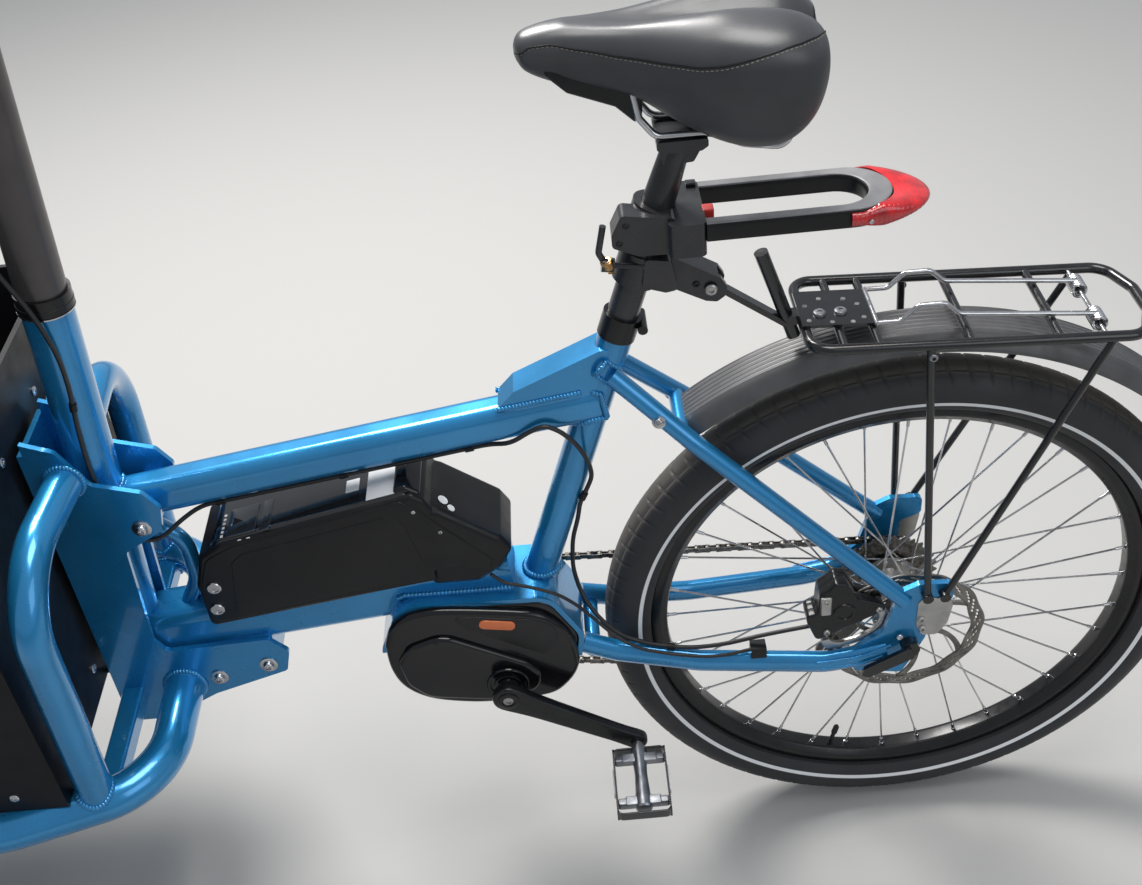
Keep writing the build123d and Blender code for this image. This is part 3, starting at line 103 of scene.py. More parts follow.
def soft_box(width, height, power=4.0, sides=40):
    """Rounded rectangle as a superellipse: |x / a|^p + |y / b|^p = 1."""
    t = (np.arange(sides) + 0.5) * tau / sides
    way = np.stack([np.cos(t), np.sin(t)], 1)
    return np.sign(way) * np.abs(way) ** (2 / power) * (width / 2, height / 2)


def around(centre, radius, turn, y):
    """Points round a cross axis at (x, z): x + r cos t and z + r sin t, at a Y."""
    radius, turn, y = np.broadcast_arrays(radius, turn, y)
    return np.stack([centre[0] + radius * np.cos(turn), y, centre[1] + radius * np.sin(turn)], -1)


def circle(x, z, radius, y, count):
    """Points at equal steps round a cross axis."""
    return around((x, z), radius, np.arange(count) * tau / count, y)


def arc(before, corner, after, bend, step, least, more, share=np.inf):
    """Arc tangent to both sides of a corner: its centre plus a mix of its two end radii, sin((1 - t) a) and
    sin(t a) over sin a. It takes up no more than a share of the shorter side."""
    back, onward = before - corner, after - corner
    shorter = min(np.linalg.norm(back), np.linalg.norm(onward))
    back, onward = unit(back), unit(onward)
    half = np.arccos(np.clip(back @ onward, -1, 1)) / 2
    turn = pi - 2 * half
    reach = min(bend / np.tan(half), share * shorter)
    centre = corner + unit(back + onward) * reach * np.tan(half) / sin(half)
    first, last = corner + back * reach - centre, corner + onward * reach - centre
    t = np.linspace(0, 1, max(least, int(turn / step) + more))[:, None]
    return centre + (np.sin((1 - t) * turn) * first + np.sin(t * turn) * last) / sin(turn)


def bent_line(places, bends):
    """Straight runs joined by arcs of the given radii."""
    places = np.asarray(places, float)
    arcs = [arc(*places[i:i + 3], bend, 0.12, 3, 1) for i, bend in enumerate(bends)]
    return np.concatenate([places[:1], *arcs, places[-1:]])


def outline(corners, radius, step=0.3):
    """Closed side-view outline (x, z) with rounded corners, turned counter-clockwise by its area's sign."""
    p = np.asarray(corners, float)
    x, z = p.T
    if np.sum(x * np.roll(z, -1) - np.roll(x, -1) * z) < 0:
        p = p[::-1]
    sides = zip(np.roll(p, 1, 0), p, np.roll(p, -1, 0), np.broadcast_to(radius, len(p)))
    return np.concatenate([arc(*side, step, 2, 2, 0.49) for side in sides])


def smooth_line(places, steps=14):
    """Catmull-Rom curve: each span's cubic has end slopes of half the distance between the neighbours."""
    p = np.asarray(places, float)
    p = np.concatenate([2 * p[:1] - p[1:2], p, 2 * p[-1:] - p[-2:-1]])
    t = np.linspace(0, 1, steps, endpoint=False)[None, :, None]
    a, b, c, d = p[:-3, None], p[1:-2, None], p[2:-1, None], p[3:, None]
    curve = (2 * a - 5 * b + 4 * c - d) * t ** 2 + (3 * b - a - 3 * c + d) * t ** 3
    spans = 0.5 * (2 * b + (c - a) * t + curve)
    return np.concatenate([spans.reshape(-1, p.shape[1]), p[-2:-1]])


def even_line(line, pitch, closed=False):
    """Points at equal distances along a line, by interpolating it over its own length."""
    line = np.asarray(line, float)
    if closed:
        line = np.concatenate([line, line[:1]])
    length = np.concatenate([[0], np.cumsum(np.linalg.norm(np.diff(line, axis=0), axis=1))])
    count = max(2, int(round(length[-1] / pitch)))
    s = np.linspace(0, length[-1], count + 1)[: count if closed else count + 1]
    return np.stack([np.interp(s, length, line[:, k]) for k in range(line.shape[1])], 1)


def directions(line, closed=False):
    """Unit tangents: the mean of the two chords that meet at each point."""
    chord = unit(np.diff(np.concatenate([line[-1:], line, line[:1]]), axis=0))
    if not closed:
        chord[0], chord[-1] = chord[1], chord[-2]
    return unit(chord[:-1] + chord[1:])


def carried(line, section, up=None, closed=False):
    """Section carried along a line: line point + a times the side vector + b times the top vector."""
    line = np.asarray(line, float)
    along = directions(line, closed)
    if up is None:
        up = np.linalg.svd(along)[2][-1]
    side = unit(np.cross(along, up))
    top = np.cross(side, along)
    return line[:, None] + section[..., :1] * side[:, None] + section[..., 1:] * top[:, None]


def turned(profile, centre, axis=(0, 1, 0), steps=96):
    """Profile of (distance on an axis, radius) turned about it: centre + h axis + r (cos t u + sin t v)."""
    axis = unit(axis)
    u = unit(np.cross(axis, (0.13, 0.31, 0.94)))
    h, r = np.asarray(profile, float).T[..., None, None]
    return np.asarray(centre, float) + h * axis + r * (ring(1, steps) @ np.stack([u, np.cross(axis, u)]))


def inset(shape, depth):
    """A closed outline moved inwards along its normals by a depth."""
    along = directions(shape, closed=True)
    return shape + depth * np.stack([-along[:, 1], along[:, 0]], 1)


def rounded(shape, low, high, edge, turns=4):
    """Outline between two levels with quarter-round edges: inset e (1 - sin a) at depth e (1 - cos a)."""
    a = np.linspace(0, pi / 2, turns)
    insets, depths = edge * (1 - np.sin(a)), edge * (1 - np.cos(a))
    levels = np.concatenate([low + depths, (high - depths)[::-1]])
    rows = np.stack([inset(shape, d) for d in (*insets, *insets[::-1])])
    return np.concatenate([rows, np.broadcast_to(levels[:, None, None], (*rows.shape[:2], 1))], -1)


def box_grid(centre, size, edge=0.8, axes=np.eye(3)):
    """Block with rounded edges: a rounded rectangle carried along its third axis."""
    half = np.asarray(size, float) / 2
    corners = half[:2] * [(-1, -1), (1, -1), (1, 1), (-1, 1)]
    plan = outline(corners, min(edge * 1.6, 0.9 * min(half[:2])))
    return rounded(plan, -half[2], half[2], edge) @ unit(axes) + np.asarray(centre, float)


def prism(plan, low, high, axis=1):
    """The points of a plan at two levels of one axis."""
    return np.concatenate([np.insert(plan, axis, level, axis=1) for level in (low, high)])


class Shape:
    """Collects the grids of one piece and makes its mesh."""

    def __init__(self):
        self.points, self.faces, self.count = [], [], 0

    def grid(self, points, close_u=False, close_v=True, caps=True, keep=slice(None)):
        """Quads between neighbouring points of a grid; caps close the two ends of a tube."""
        points = np.asarray(points, float)
        nu, nv = points.shape[:2]
        index = self.count + np.arange(nu * nv).reshape(nu, nv)
        wide = np.concatenate([index, index[:1]]) if close_u else index
        wide = np.concatenate([wide, wide[:, :1]], 1) if close_v else wide
        quads = np.stack([wide[:-1, :-1], wide[1:, :-1], wide[1:, 1:], wide[:-1, 1:]], -1)
        self.faces += quads.reshape(-1, 4)[keep].tolist()
        if caps and close_v and not close_u:
            self.faces += [index[0].tolist(), index[-1][::-1].tolist()]
        self.points.append(points.reshape(-1, 3))
        self.count += nu * nv
        return self

    def copies(self, points, origins, axes):
        """A small prism set down many times: origin + a first axis + b second axis + c third axis."""
        placed = np.asarray(origins, float)[:, None] + np.einsum("pk,nkj->npj", points, axes)
        starts = self.count + np.arange(len(placed))[:, None] * len(points)
        n = len(points) // 2
        sides = [[i, (i + 1) % n, n + (i + 1) % n, n + i] for i in range(n)]
        for face in sides + [list(range(n))[::-1], list(range(n, 2 * n))]:
            self.faces += (starts + face).tolist()
        self.points.append(placed.reshape(-1, 3))
        self.count += placed.shape[0] * placed.shape[1]
        return self

    def tube(self, line, radius, sides=20):
        """Round bar along a line, with its edges eased at both ends."""
        line = np.asarray(line, float)
        ease = min(radius * 0.18, 1.2)
        start, end = directions(line)[[0, -1]] * ease
        line = np.stack([line[0], line[0] + start, *line[1:-1], line[-1] - end, line[-1]])
        scale = np.ones((len(line), 1, 1))
        scale[[0, -1]] = 1 - ease / radius
        return self.grid(carried(line, ring(radius, sides) * scale))

    def lathe(self, profile, centre, axis=(0, 1, 0), steps=64, **options):
        """Turned profile, closed at its ends; close_u makes a loop of it, a ring round the axis."""
        return self.grid(turned(profile, centre, axis, steps), **options)

    def plate(self, corners, radius, low, high, edge=1.0, turns=4, step=0.3):
        """Side-view outline with rounded corners and edges, from one Y to another."""
        return self.slab(outline(corners, radius, step), low, high, edge, turns)

    def slab(self, shape, low, high, edge=1.0, turns=4):
        """Side-view outline with rounded edges, from one Y to another."""
        return self.grid(rounded(shape, low, high, edge, turns)[..., [0, 2, 1]])

    def bolt(self, place, axis, radius=4.0, height=3.0):
        """Button-head screw with a round socket, standing on a face."""
        profile = np.array([(0, 1), (0.5, 1), (0.85, 0.86), (1, 0.66), (1, 0.46), (0.35, 0.44), (0.35, 0)])
        profile = profile * (height, radius)
        profile[-1, 1] = 0.01
        return self.lathe(profile, place, axis, 18)

    def piece(self, name, look, node=None, body="frame", slot=None, crease=38, thickness=0.0):
        """Makes the mesh, closes its seams and turns its faces outwards; an open sheet gets a wall."""
        points = np.concatenate(self.points) * MM + (AXLE_X, 0, 0)
        mesh = bpy.data.meshes.new(name)
        mesh.from_pydata(points.tolist(), [], self.faces)
        work = bmesh.new()
        work.from_mesh(mesh)
        bmesh.ops.remove_doubles(work, verts=work.verts, dist=2e-6)
        bmesh.ops.recalc_face_normals(work, faces=work.faces)
        work.to_mesh(mesh)
        work.free()
        mesh.shade_smooth()
        mesh.set_sharp_from_angle(angle=radians(crease))
        obj = bpy.data.objects.new(name, mesh)
        bpy.context.scene.collection.objects.link(obj)
        if thickness:
            wall = obj.modifiers.new("wall", "SOLIDIFY")
            wall.thickness = thickness * MM
            wall.offset = 0
        if isinstance(look, str):
            slot = slot or FINISHES[look][0]
            look = finish(look)
        mesh.materials.append(look)
        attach(obj, body)
        if node:
            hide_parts(node)
        return obj


# Finishes

FINISHES = {
    # name: slot, colour or its property, roughness and its spread, metal, coat and its roughness, specular
    # level, mottle and its scale, grain's scale and its depth in mm
    "frame paint": ("blue_paint", "paint", 0.27, 0.05, 0.55, 1.0, 0.05, 0.5, 0.1, 9, 1400, 0.022),
    "weld bead": ("blue_paint", "paint", 0.3, 0.08, 0.55, 1.0, 0.08, 0.5, 0.16, 60, 700, 0.03),
    "black paint": ("black_metal", "black_finish", 0.22, 0.07, 0, 0.5, 0.08, 0.5, 0.25, 30, 900, 0.012),
    "anodised black": ("black_metal", (0.012, 0.012, 0.013), 0.32, 0.08, 0.45, 0.25, 0.15, 0.5, 0.2, 45,
                       1300, 0.01),
    "moulded black": ("black_plastic", "black_finish", 0.36, 0.08, 0, 0, 0.1, 0.35, 0.18, 24, 1100, 0.05),
    "post black": ("black_metal", (0.028, 0.028, 0.031), 0.3, 0.07, 0.2, 0.3, 0.12, 0.5, 0.2, 30, 1200, 0.02),
    "gloss black": ("black_plastic", "black_finish", 0.12, 0.03, 0, 1.0, 0.04, 0.5, 0.15, 18, 300, 0.008),
    "cover black": ("black_plastic", (0.0055, 0.0055, 0.007), 0.13, 0.05, 0, 0, 0.1, 0.5, 0.2, 14, 1300,
                    0.02),
    "satin black": ("black_plastic", (0.014, 0.014, 0.015), 0.4, 0.06, 0, 0, 0.1, 0.4, 0.2, 20, 1500, 0.03),
    "guard plastic": ("mudguard_black", (0.082, 0.082, 0.086), 0.42, 0.1, 0, 0.3, 0.2, 0.5, 0.2, 26, 800,
                      0.04),
    "panel black": ("black_metal", (0.006, 0.006, 0.0075), 0.42, 0.1, 0, 0, 0.1, 0.25, 0.3, 12, 520, 0.08),
    "tyre rubber": ("tyre", (0.026, 0.026, 0.029), 0.62, 0.06, 0, 0, 0.1, 0.5, 0.1, 14, 900, 0.05),
    "grip rubber": ("grip_rubber", (0.018, 0.018, 0.019), 0.75, 0.1, 0, 0, 0.1, 0.5, 0.2, 60, 900, 0.12),
    "cable sheath": ("black_plastic", (0.014, 0.014, 0.015), 0.42, 0.1, 0, 0.2, 0.2, 0.5, 0.2, 90, 1600,
                     0.03),
    "polished steel": ("bright_steel", "steel", 0.2, 0.08, 1, 0, 0.1, 0.5, 0.1, 60, 1200, 0.01),
    "worn steel": ("bright_steel", (0.42, 0.41, 0.4), 0.36, 0.14, 1, 0, 0.1, 0.5, 0.28, 70, 900, 0.03),
    "oiled chain": ("bright_steel", (0.2, 0.19, 0.175), 0.34, 0.16, 1, 0, 0.1, 0.5, 0.45, 150, 900, 0.03),
    "disc steel": ("bright_steel", (0.24, 0.225, 0.205), 0.38, 0.12, 1, 0, 0.1, 0.5, 0.35, 60, 900, 0.03),
    "plated steel": ("bright_steel", (0.5, 0.49, 0.47), 0.4, 0.1, 0.9, 0, 0.1, 0.5, 0.15, 50, 700, 0.03),
    # pale grey of a painted highlight laid over the carrier loop's top face
    "dusty grey": ("black_plastic", (0.19, 0.19, 0.2), 0.42, 0.08, 0, 0, 0.1, 0.5, 0.2, 40, 1100, 0.05),
    "dull brass": ("bright_steel", (0.55, 0.33, 0.14), 0.3, 0.12, 1, 0, 0.1, 0.5, 0.35, 120, 900, 0.03),
    "mast grey": ("black_metal", (0.088, 0.08, 0.079), 0.34, 0.06, 0.5, 0.2, 0.2, 0.5, 0.15, 20, 1300, 0.01),
    "cast alloy": ("bright_steel", (0.33, 0.34, 0.36), 0.42, 0.12, 1, 0, 0.1, 0.5, 0.2, 60, 700, 0.06),
    "blank label": ("black_plastic", (0.7, 0.71, 0.72), 0.36, 0.06, 0, 0.3, 0.15, 0.5, 0.05, 40, 500, 0.01),
    "orange badge": ("black_plastic", (0.75, 0.17, 0.04), 0.32, 0.04, 0, 0.6, 0.1, 0.5, 0.05, 80, 500, 0.01),
    "red button": ("red_lens", (0.62, 0.04, 0.03), 0.35, 0.04, 0, 0.5, 0.1, 0.5, 0.08, 80, 500, 0.01),
    "dark glass": ("black_plastic", (0.018, 0.02, 0.024), 0.06, 0.02, 0, 1.0, 0.02, 0.5, 0.1, 30, 90, 0.004),
    "thread pale": ("saddle_cover", (0.3, 0.26, 0.22), 0.6, 0.1, 0, 0, 0.1, 0.5, 0.2, 400, 2500, 0.05),
}
DUST_SHARE = {"guard plastic": 0.2}
looks = {}


def main_colour(key):
    """A main colour from the settings."""
    return np.array(getattr(bpy.context.scene.bicycle_colours, key)[:3])


def size_mm(key):
    """A trim size from the settings, in millimetres."""
    return getattr(bpy.context.scene.bicycle_sizes, key) / MM


def put(tree, node, inputs):
    """Gives each input its value, or a link where another node's socket is given."""
    for key, value in inputs.items():
        socket = node.inputs[key]
        if isinstance(value, bpy.types.NodeSocket):
            tree.links.new(value, socket)
        else:
            socket.default_value = (*value[:3], 1) if socket.type == "RGBA" else value


def add(tree, kind, inputs, **settings):
    """A shader node with its settings and inputs."""
    node = tree.nodes.new("ShaderNode" + kind)
    for key, value in settings.items():
        setattr(node, key, value)
    put(tree, node, inputs)
    return node


def noise(tree, place, scale, detail=3.0):
    """Noise over Object coordinates at a scale per metre."""
    return add(tree, "TexNoise", {"Scale": scale, "Detail": detail, "Vector": place}).outputs["Fac"]


def spread_out(tree, value, low, high, start=0.3, end=0.7):
    """A value stretched from one range to another."""
    ranges = {"From Min": start, "From Max": end, "To Min": low, "To Max": high}
    return add(tree, "MapRange", {"Value": value, **ranges}).outputs["Result"]


def mixed(tree, factor, first, second):
    """Colour between two colours or colour sockets by a factor."""
    return add(tree, "Mix", {0: factor, 6: first, 7: second}, data_type="RGBA").outputs[2]


def relief(tree, height, depth, **under):
    """Bump of a depth in millimetres, over an earlier one if there is one."""
    inputs = {"Strength": 0.6, "Distance": depth * MM, "Height": height, **under}
    return add(tree, "Bump", inputs).outputs["Normal"]


def new_look(name):
    """A new material, with its tree, its shader and its Object coordinates."""
    look = looks[name] = bpy.data.materials.new(name)
    look.use_nodes = True
    tree = look.node_tree
    return look, tree, tree.nodes["Principled BSDF"], add(tree, "TexCoord", {}).outputs["Object"]


def finish(name):
    """Material with colour, roughness and relief from noise on Object coordinates, made once."""
    if name in looks:
        return looks[name]
    colour, rough, spread, metal, coat, coat_rough, shine, mottle, scale, grain, depth = FINISHES[name][1:]
    colour = main_colour(colour) if isinstance(colour, str) else np.array(colour)
    look, tree, shader, place = new_look(name)
    patches = spread_out(tree, noise(tree, place, scale), 0, 1)
    tint = mixed(tree, patches, colour * (1 - mottle), np.minimum(colour * (1 + mottle), 1))
    if name in DUST_SHARE:
        settled = spread_out(tree, noise(tree, place, 55, 6.0), 0, DUST_SHARE[name], 0.45, 0.75)
        tint = mixed(tree, settled, tint, (0.085, 0.080, 0.072))
    worn = noise(tree, place, scale * 2.3, 4.0)
    put(tree, shader, {
        "Base Color": tint, "Metallic": metal, "Coat Weight": coat, "Coat Roughness": coat_rough,
        "Specular IOR Level": shine, "Roughness": spread_out(tree, worn, rough - spread, rough + spread),
        "Normal": relief(tree, noise(tree, place, grain, 2.0), depth)})
    return look


def tyre_finish(name, centre, ring_r, crown_r):
    """Tyre rubber with a pale ring where the distance from the axle is near the ring's radius, and dust where
    it is past the crown's."""
    look = finish("tyre rubber").copy()
    look.name = name
    tree = look.node_tree
    shader = tree.nodes["Principled BSDF"]
    base = shader.inputs["Base Color"].links[0].from_socket
    place = [n for n in tree.nodes if n.type == "TEX_COORD"][0].outputs["Object"]
    origin = (-(AXLE_X + centre[0] * MM), 0, -centre[1] * MM)
    flat = add(tree, "Mapping", {"Vector": place, "Location": origin, "Scale": (1, 0, 1)}).outputs["Vector"]
    reach = add(tree, "VectorMath", {0: flat}, operation="LENGTH").outputs["Value"]
    away = add(tree, "Math", {0: reach, 1: ring_r * MM}, operation="SUBTRACT").outputs[0]
    away = add(tree, "Math", {0: away}, operation="ABSOLUTE").outputs[0]
    half = size_mm("ring_width") / 2
    band = spread_out(tree, away, 1.0, 0.0, (half - 0.25) * MM, (half + 0.25) * MM)
    dust = spread_out(tree, reach, 0.0, 0.75, crown_r * MM, (crown_r + 3) * MM)
    dusty = mixed(tree, dust, base, (0.100, 0.090, 0.078))
    put(tree, shader, {"Base Color": mixed(tree, band, dusty, (0.88, 0.89, 0.90))})
    return look


def lens_finish():
    """Red lamp lens: clear coloured plastic with fine ribs and a glossy coat."""
    look, tree, shader, place = new_look("red lens")
    lens = main_colour("lens")
    patches = spread_out(tree, noise(tree, place, 60), 0, 1)
    ribs = add(tree, "TexWave", {"Scale": 70, "Vector": place}, bands_direction="X").outputs["Fac"]
    put(tree, shader, {
        "Base Color": mixed(tree, patches, lens * 0.55, np.minimum(lens * 1.25, 1)), "Coat Weight": 1.0,
        "Roughness": spread_out(tree, noise(tree, place, 120), 0.06, 0.16), "Transmission Weight": 0.25,
        "Normal": relief(tree, ribs, 0.6)})
    return look


def saddle_finish():
    """Vinyl cover: fine pebbled grain from cells; the top is glossier than the sides by its height."""
    look, tree, shader, place = new_look("saddle cover")
    cover = main_colour("saddle")
    patches = spread_out(tree, noise(tree, place, 18), 0, 1)
    height = add(tree, "SeparateXYZ", {0: place}).outputs["Z"]
    top = spread_out(tree, height, 0.0, 1.0, 1.036, 1.052)
    worn = spread_out(tree, noise(tree, place, 30, 5.0), -0.05, 0.05)
    cells = add(tree, "TexVoronoi", {"Scale": 900, "Vector": place}).outputs["Distance"]
    pebbles = relief(tree, cells, 0.09)
    put(tree, shader, {
        "Base Color": mixed(tree, patches, cover * 0.8, cover * 1.25), "Coat Roughness": 0.34,
        "Roughness": add(tree, "Math", {0: spread_out(tree, top, 0.50, 0.32, 0.0, 1.0), 1: worn}).outputs[0],
        "Coat Weight": spread_out(tree, top, 0.0, 0.8, 0.0, 1.0),
        "Normal": relief(tree, noise(tree, place, 160), 0.10, Normal=pebbles)})
    return look


# Settings


def length_setting(name, default, text):
    """A length that a user may change."""
    return bpy.props.FloatProperty(name=name, description=text, default=default, unit="LENGTH")


def colour_setting(name, default, text):
    """A colour that a user may change."""
    return bpy.props.FloatVectorProperty(
        name=name, description=text, subtype="COLOR", size=3, min=0, max=1, default=default)


class BICYCLE_PG_sizes(bpy.types.PropertyGroup):
    """Sizes of the trim that a user may change."""

    tread_depth: length_setting("Tread depth", 0.0014, "Depth of the grooves in both tyres")
    ring_width: length_setting("Reflecting ring", 0.0046, "Width of the pale ring on the tyres' sides")
    bead_size: length_setting("Weld bead", 0.0034, "Radius of the weld beads round the frame's joints")
    stitch_pitch: length_setting("Stitch pitch", 0.0042, "Distance between stitches in the saddle's seams")
    spoke_size: length_setting("Spoke", 0.00115, "Radius of a spoke")


class BICYCLE_PG_colours(bpy.types.PropertyGroup):
    """Main colours of the bicycle and its stage."""

    paint: colour_setting("Frame paint", (0.016, 0.265, 0.580), "Metallic paint of the frame and cradle")
    black_finish: colour_setting("Black parts", (0.0070, 0.0070, 0.0080), "Black paint and moulded plastic")
    steel: colour_setting("Bright steel", (0.60, 0.60, 0.61), "Spokes, rails, springs and bolts")
    saddle: colour_setting("Saddle cover", (0.044, 0.045, 0.050), "Vinyl cover of the saddle")
    lens: colour_setting("Lamp lens", (0.78, 0.014, 0.020), "Red lens of the rear lamp")
    floor: colour_setting("Floor", (0.46, 0.455, 0.445), "Plain floor under the bicycle")


class Maker:
    """What every operator here shares."""

    bl_options = {"REGISTER", "UNDO"}

    def execute(self, context):
        """Makes the pieces."""
        self.make()
        return {"FINISHED"}


# Wheels


def tyre_section(outer_r, width, rim_r, count=44):
    """Tyre section as (y, radius, tread share, groove slant): a circle from bead to bead with two low ribs
    along each side, and the beads inside the rim."""
    half = width / 2
    centre = outer_r - half
    bead_angle = np.arccos((rim_r + 0.4 - centre) / half)
    a = np.linspace(-bead_angle, bead_angle, count)
    away = np.abs(a)
    rib = 0.5 * sum(np.exp(-((away - place) / 0.05) ** 2) for place in (1.35, 2.15))
    y, r = (half + rib) * np.sin(a), centre + (half + rib) * np.cos(a)
    tread = np.clip((1.12 - away) / 0.06, 0, 1) - np.clip((0.10 - away) / 0.04, 0, 1)
    bead_y, bead_r = (12.2, 12.0, -12.0, -12.2), rim_r - np.array([0.5, 5.6, 5.6, 0.5])
    parts = ((y, bead_y), (r, bead_r), (tread, np.zeros(4)), (away, np.zeros(4)))
    return [np.concatenate(pair) for pair in parts]


def make_tyre(end, outer_r, width, rim_r, pitches, ring_r, crown_r):
    """Torus grid whose columns slant with the groove: angle = column + slant |a|. One cut in each pitch and a
    groove along each side of the crown are sunk by the tread depth."""
    y, r, tread, slant = (part[:, None] for part in tyre_section(outer_r, width, rim_r))
    columns = np.arange(pitches * 10)
    turn = (columns + 3.0 * np.clip(slant, 0, 1.3)) * tau / len(columns)
    sunk = (columns % 10 == 8) | ((slant > 0.46) & (slant < 0.56))
    grid = around(AXLES[end], r - size_mm("tread_depth") * tread * sunk, turn, y)
    look = tyre_finish(end + " tyre", AXLES[end], ring_r, crown_r)
    tyre = Shape().grid(grid, close_u=True)
    tyre.piece(end + "_tyre_grooved", look, end + "_tyre", end + "_wheel", "tyre", 30)


def make_rim(end, outer_r, inner_r, valve_angle):
    """Turned rim section: hooked walls, brake flanks and a rounded spoke bed, with the valve."""
    x, z = AXLES[end]
    right = [(12.5, outer_r - 7), (12.5, outer_r - 1.0), (13.0, outer_r - 0.2), (14.3, outer_r),
             (15.0, outer_r - 0.6), (15.0, outer_r - 11.5), (14.2, outer_r - 12.3), (10.8, inner_r + 1.6),
             (9.0, inner_r + 0.3), (6.0, inner_r)]
    shape = Shape().lathe(right + [(-y, r) for y, r in right[::-1]], (x, 0, z), steps=240, close_u=True)
    out = np.array([cos(valve_angle), 0, sin(valve_angle)])
    valve = [(0, 0.01), (0, 4.2), (2.2, 4.2), (2.4, 2.6), (20, 2.6), (20.3, 3.8), (31, 3.6), (33, 2.4),
             (33.3, 0.01)]
    shape.lathe(valve, (x, 0, z) + out * (inner_r + 1), -out, 20)
    shape.piece(end + "_rim_turned", "anodised black", end + "_rim", end + "_wheel", crease=50)


def make_hub(end, flange_y, flange_r, shell_r, end_r, half_width, rim_r, lean, spoke_count=36):
    """Turned hub shell with crossed spokes: each runs from its flange hole to its nipple at the rim."""
    x, z = AXLES[end]
    f = flange_y
    right = [(0, shell_r - 2), (f - 10, shell_r - 1.5), (f - 4, shell_r + 2), (f - 2.4, flange_r),
             (f - 2, flange_r + 3.6), (f - 1.4, flange_r + 4), (f + 1.4, flange_r + 4),
             (f + 2, flange_r + 3.6), (f + 2.4, flange_r), (f + 4, shell_r + 1), (f + 4.5, end_r),
             (half_width - 0.5, end_r), (half_width, end_r - 0.6), (half_width, 5.15)]
    section = [(-h, r) for h, r in right[:0:-1]] + right
    Shape().lathe(section, (x, 0, z)).piece(end + "_hub_turned", "worn steel", end + "_hub", end + "_wheel")
    index = np.arange(spoke_count)
    rim_angle = tau / spoke_count * index
    side, trail = np.where(index % 2, 1.0, -1.0), np.where(index // 2 % 2, 1.0, -1.0)
    head = around((x, z), flange_r, rim_angle + trail * radians(lean), side * (f + 2.6 * trail))
    tip = around((x, z), rim_r, rim_angle, side * 2.0)
    spokes, size = Shape(), size_mm("spoke_size")
    button = [(-2.2, 0.01), (-2.0, 1.6), (-1.2, 2.2), (0, 2.2), (0.2, size)]
    nipple = [(0, size + 0.1), (0.4, 1.9), (9.5, 1.9), (10.0, 2.7), (13, 2.7)]
    for a, b, way in zip(head, tip, side * trail):
        along, out = unit(b - a), np.array([0, way, 0])
        spokes.grid(carried([a - out * 5.2, a - out, a + along * 1.6, b - along * 11], ring(size, 8)))
        spokes.lathe(button, a - out * 5.2, out, 10, caps=False)
        spokes.lathe(nipple, b - along * 12, along, 12)
    spokes.piece(end + "_hub_turned_spokes", "polished steel", body=end + "_wheel")


def make_rotor(end, y, bore):
    """Brake disc: a ring with waved edges r + w cos(12 t) and slanting slots, joined to its carrier by curved
    arms."""
    axle, steps = AXLES[end], 720
    t = np.arange(steps) * tau / steps
    low, high = 73.6 + 1.1 * np.cos(12 * t), 88.8 + 1.2 * np.cos(12 * t + 1.4)
    track = around(axle, low + (high - low) * np.linspace(0, 1, 9)[:, None], t, y)
    row, column = np.meshgrid(np.arange(8), np.arange(steps), indexing="ij")
    slot = (row >= 2) & (row <= 5) & ((column + 7 * row) % 24 < 8)
    shape = Shape().grid(track, caps=False, keep=~slot.ravel())
    carrier = np.array([bore + 0.3, 23.5])[:, None] + np.outer([0, 1], 1.5 * np.cos(6 * t))
    shape.grid(around(axle, carrier, t, y), caps=False)
    u, v = np.linspace(0, 1, 16)[:, None], np.array([-1.0, 0.0, 1.0])
    reach = 22.5 + (75.5 - 22.5) * u
    bolts = Shape()
    for i in range(6):
        turn = tau / 6 * i + 0.55 * u ** 1.3 + v * (5.4 - 2.2 * np.sin(pi * u)) / reach
        shape.grid(around(axle, reach, turn, y), close_v=False)
        bolts.bolt(around(axle, 18.5, tau / 6 * (i + 0.5), y + 0.9), (0, 1, 0), 3.2, 2.0)
    shape.piece(end + "_disc", "disc steel", end + "_rotor", end + "_wheel", thickness=1.9)
    bolts.piece(end + "_disc_bolts", "anodised black", body=end + "_wheel")


def toothed(centre, y, thickness, inner_r, base_r, tip, teeth):
    """Toothed ring: outer radius = base + tip (0.5 + 0.5 cos(n t))^1.6, thinner towards its tips."""
    t = np.arange(teeth * 8) * tau / (teeth * 8)
    outer = base_r - 1.5 + (tip + 1.5) * (0.5 + 0.5 * np.cos(teeth * t)) ** 1.6
    bore, root = np.full_like(t, inner_r), np.full_like(t, base_r - 1.8)
    levels = y + thickness / 2 * np.array([-1, -1, -0.5, 0.5, 1, 1])
    return around(centre, np.stack([bore, root, outer, outer, root, bore]), t, levels[:, None])


class BICYCLE_OT_tyres(Maker, bpy.types.Operator):
    """Both tyres, with grooved treads and a pale ring on each side."""

    bl_idname = "bicycle.tyres"
    bl_label = "Tyres"

    def make(self):
        make_tyre("rear", 338, 59, 286, 94, 299.5, 330)
        make_tyre("front", 254, 54, 209.5, 70, 221.5, 246.5)


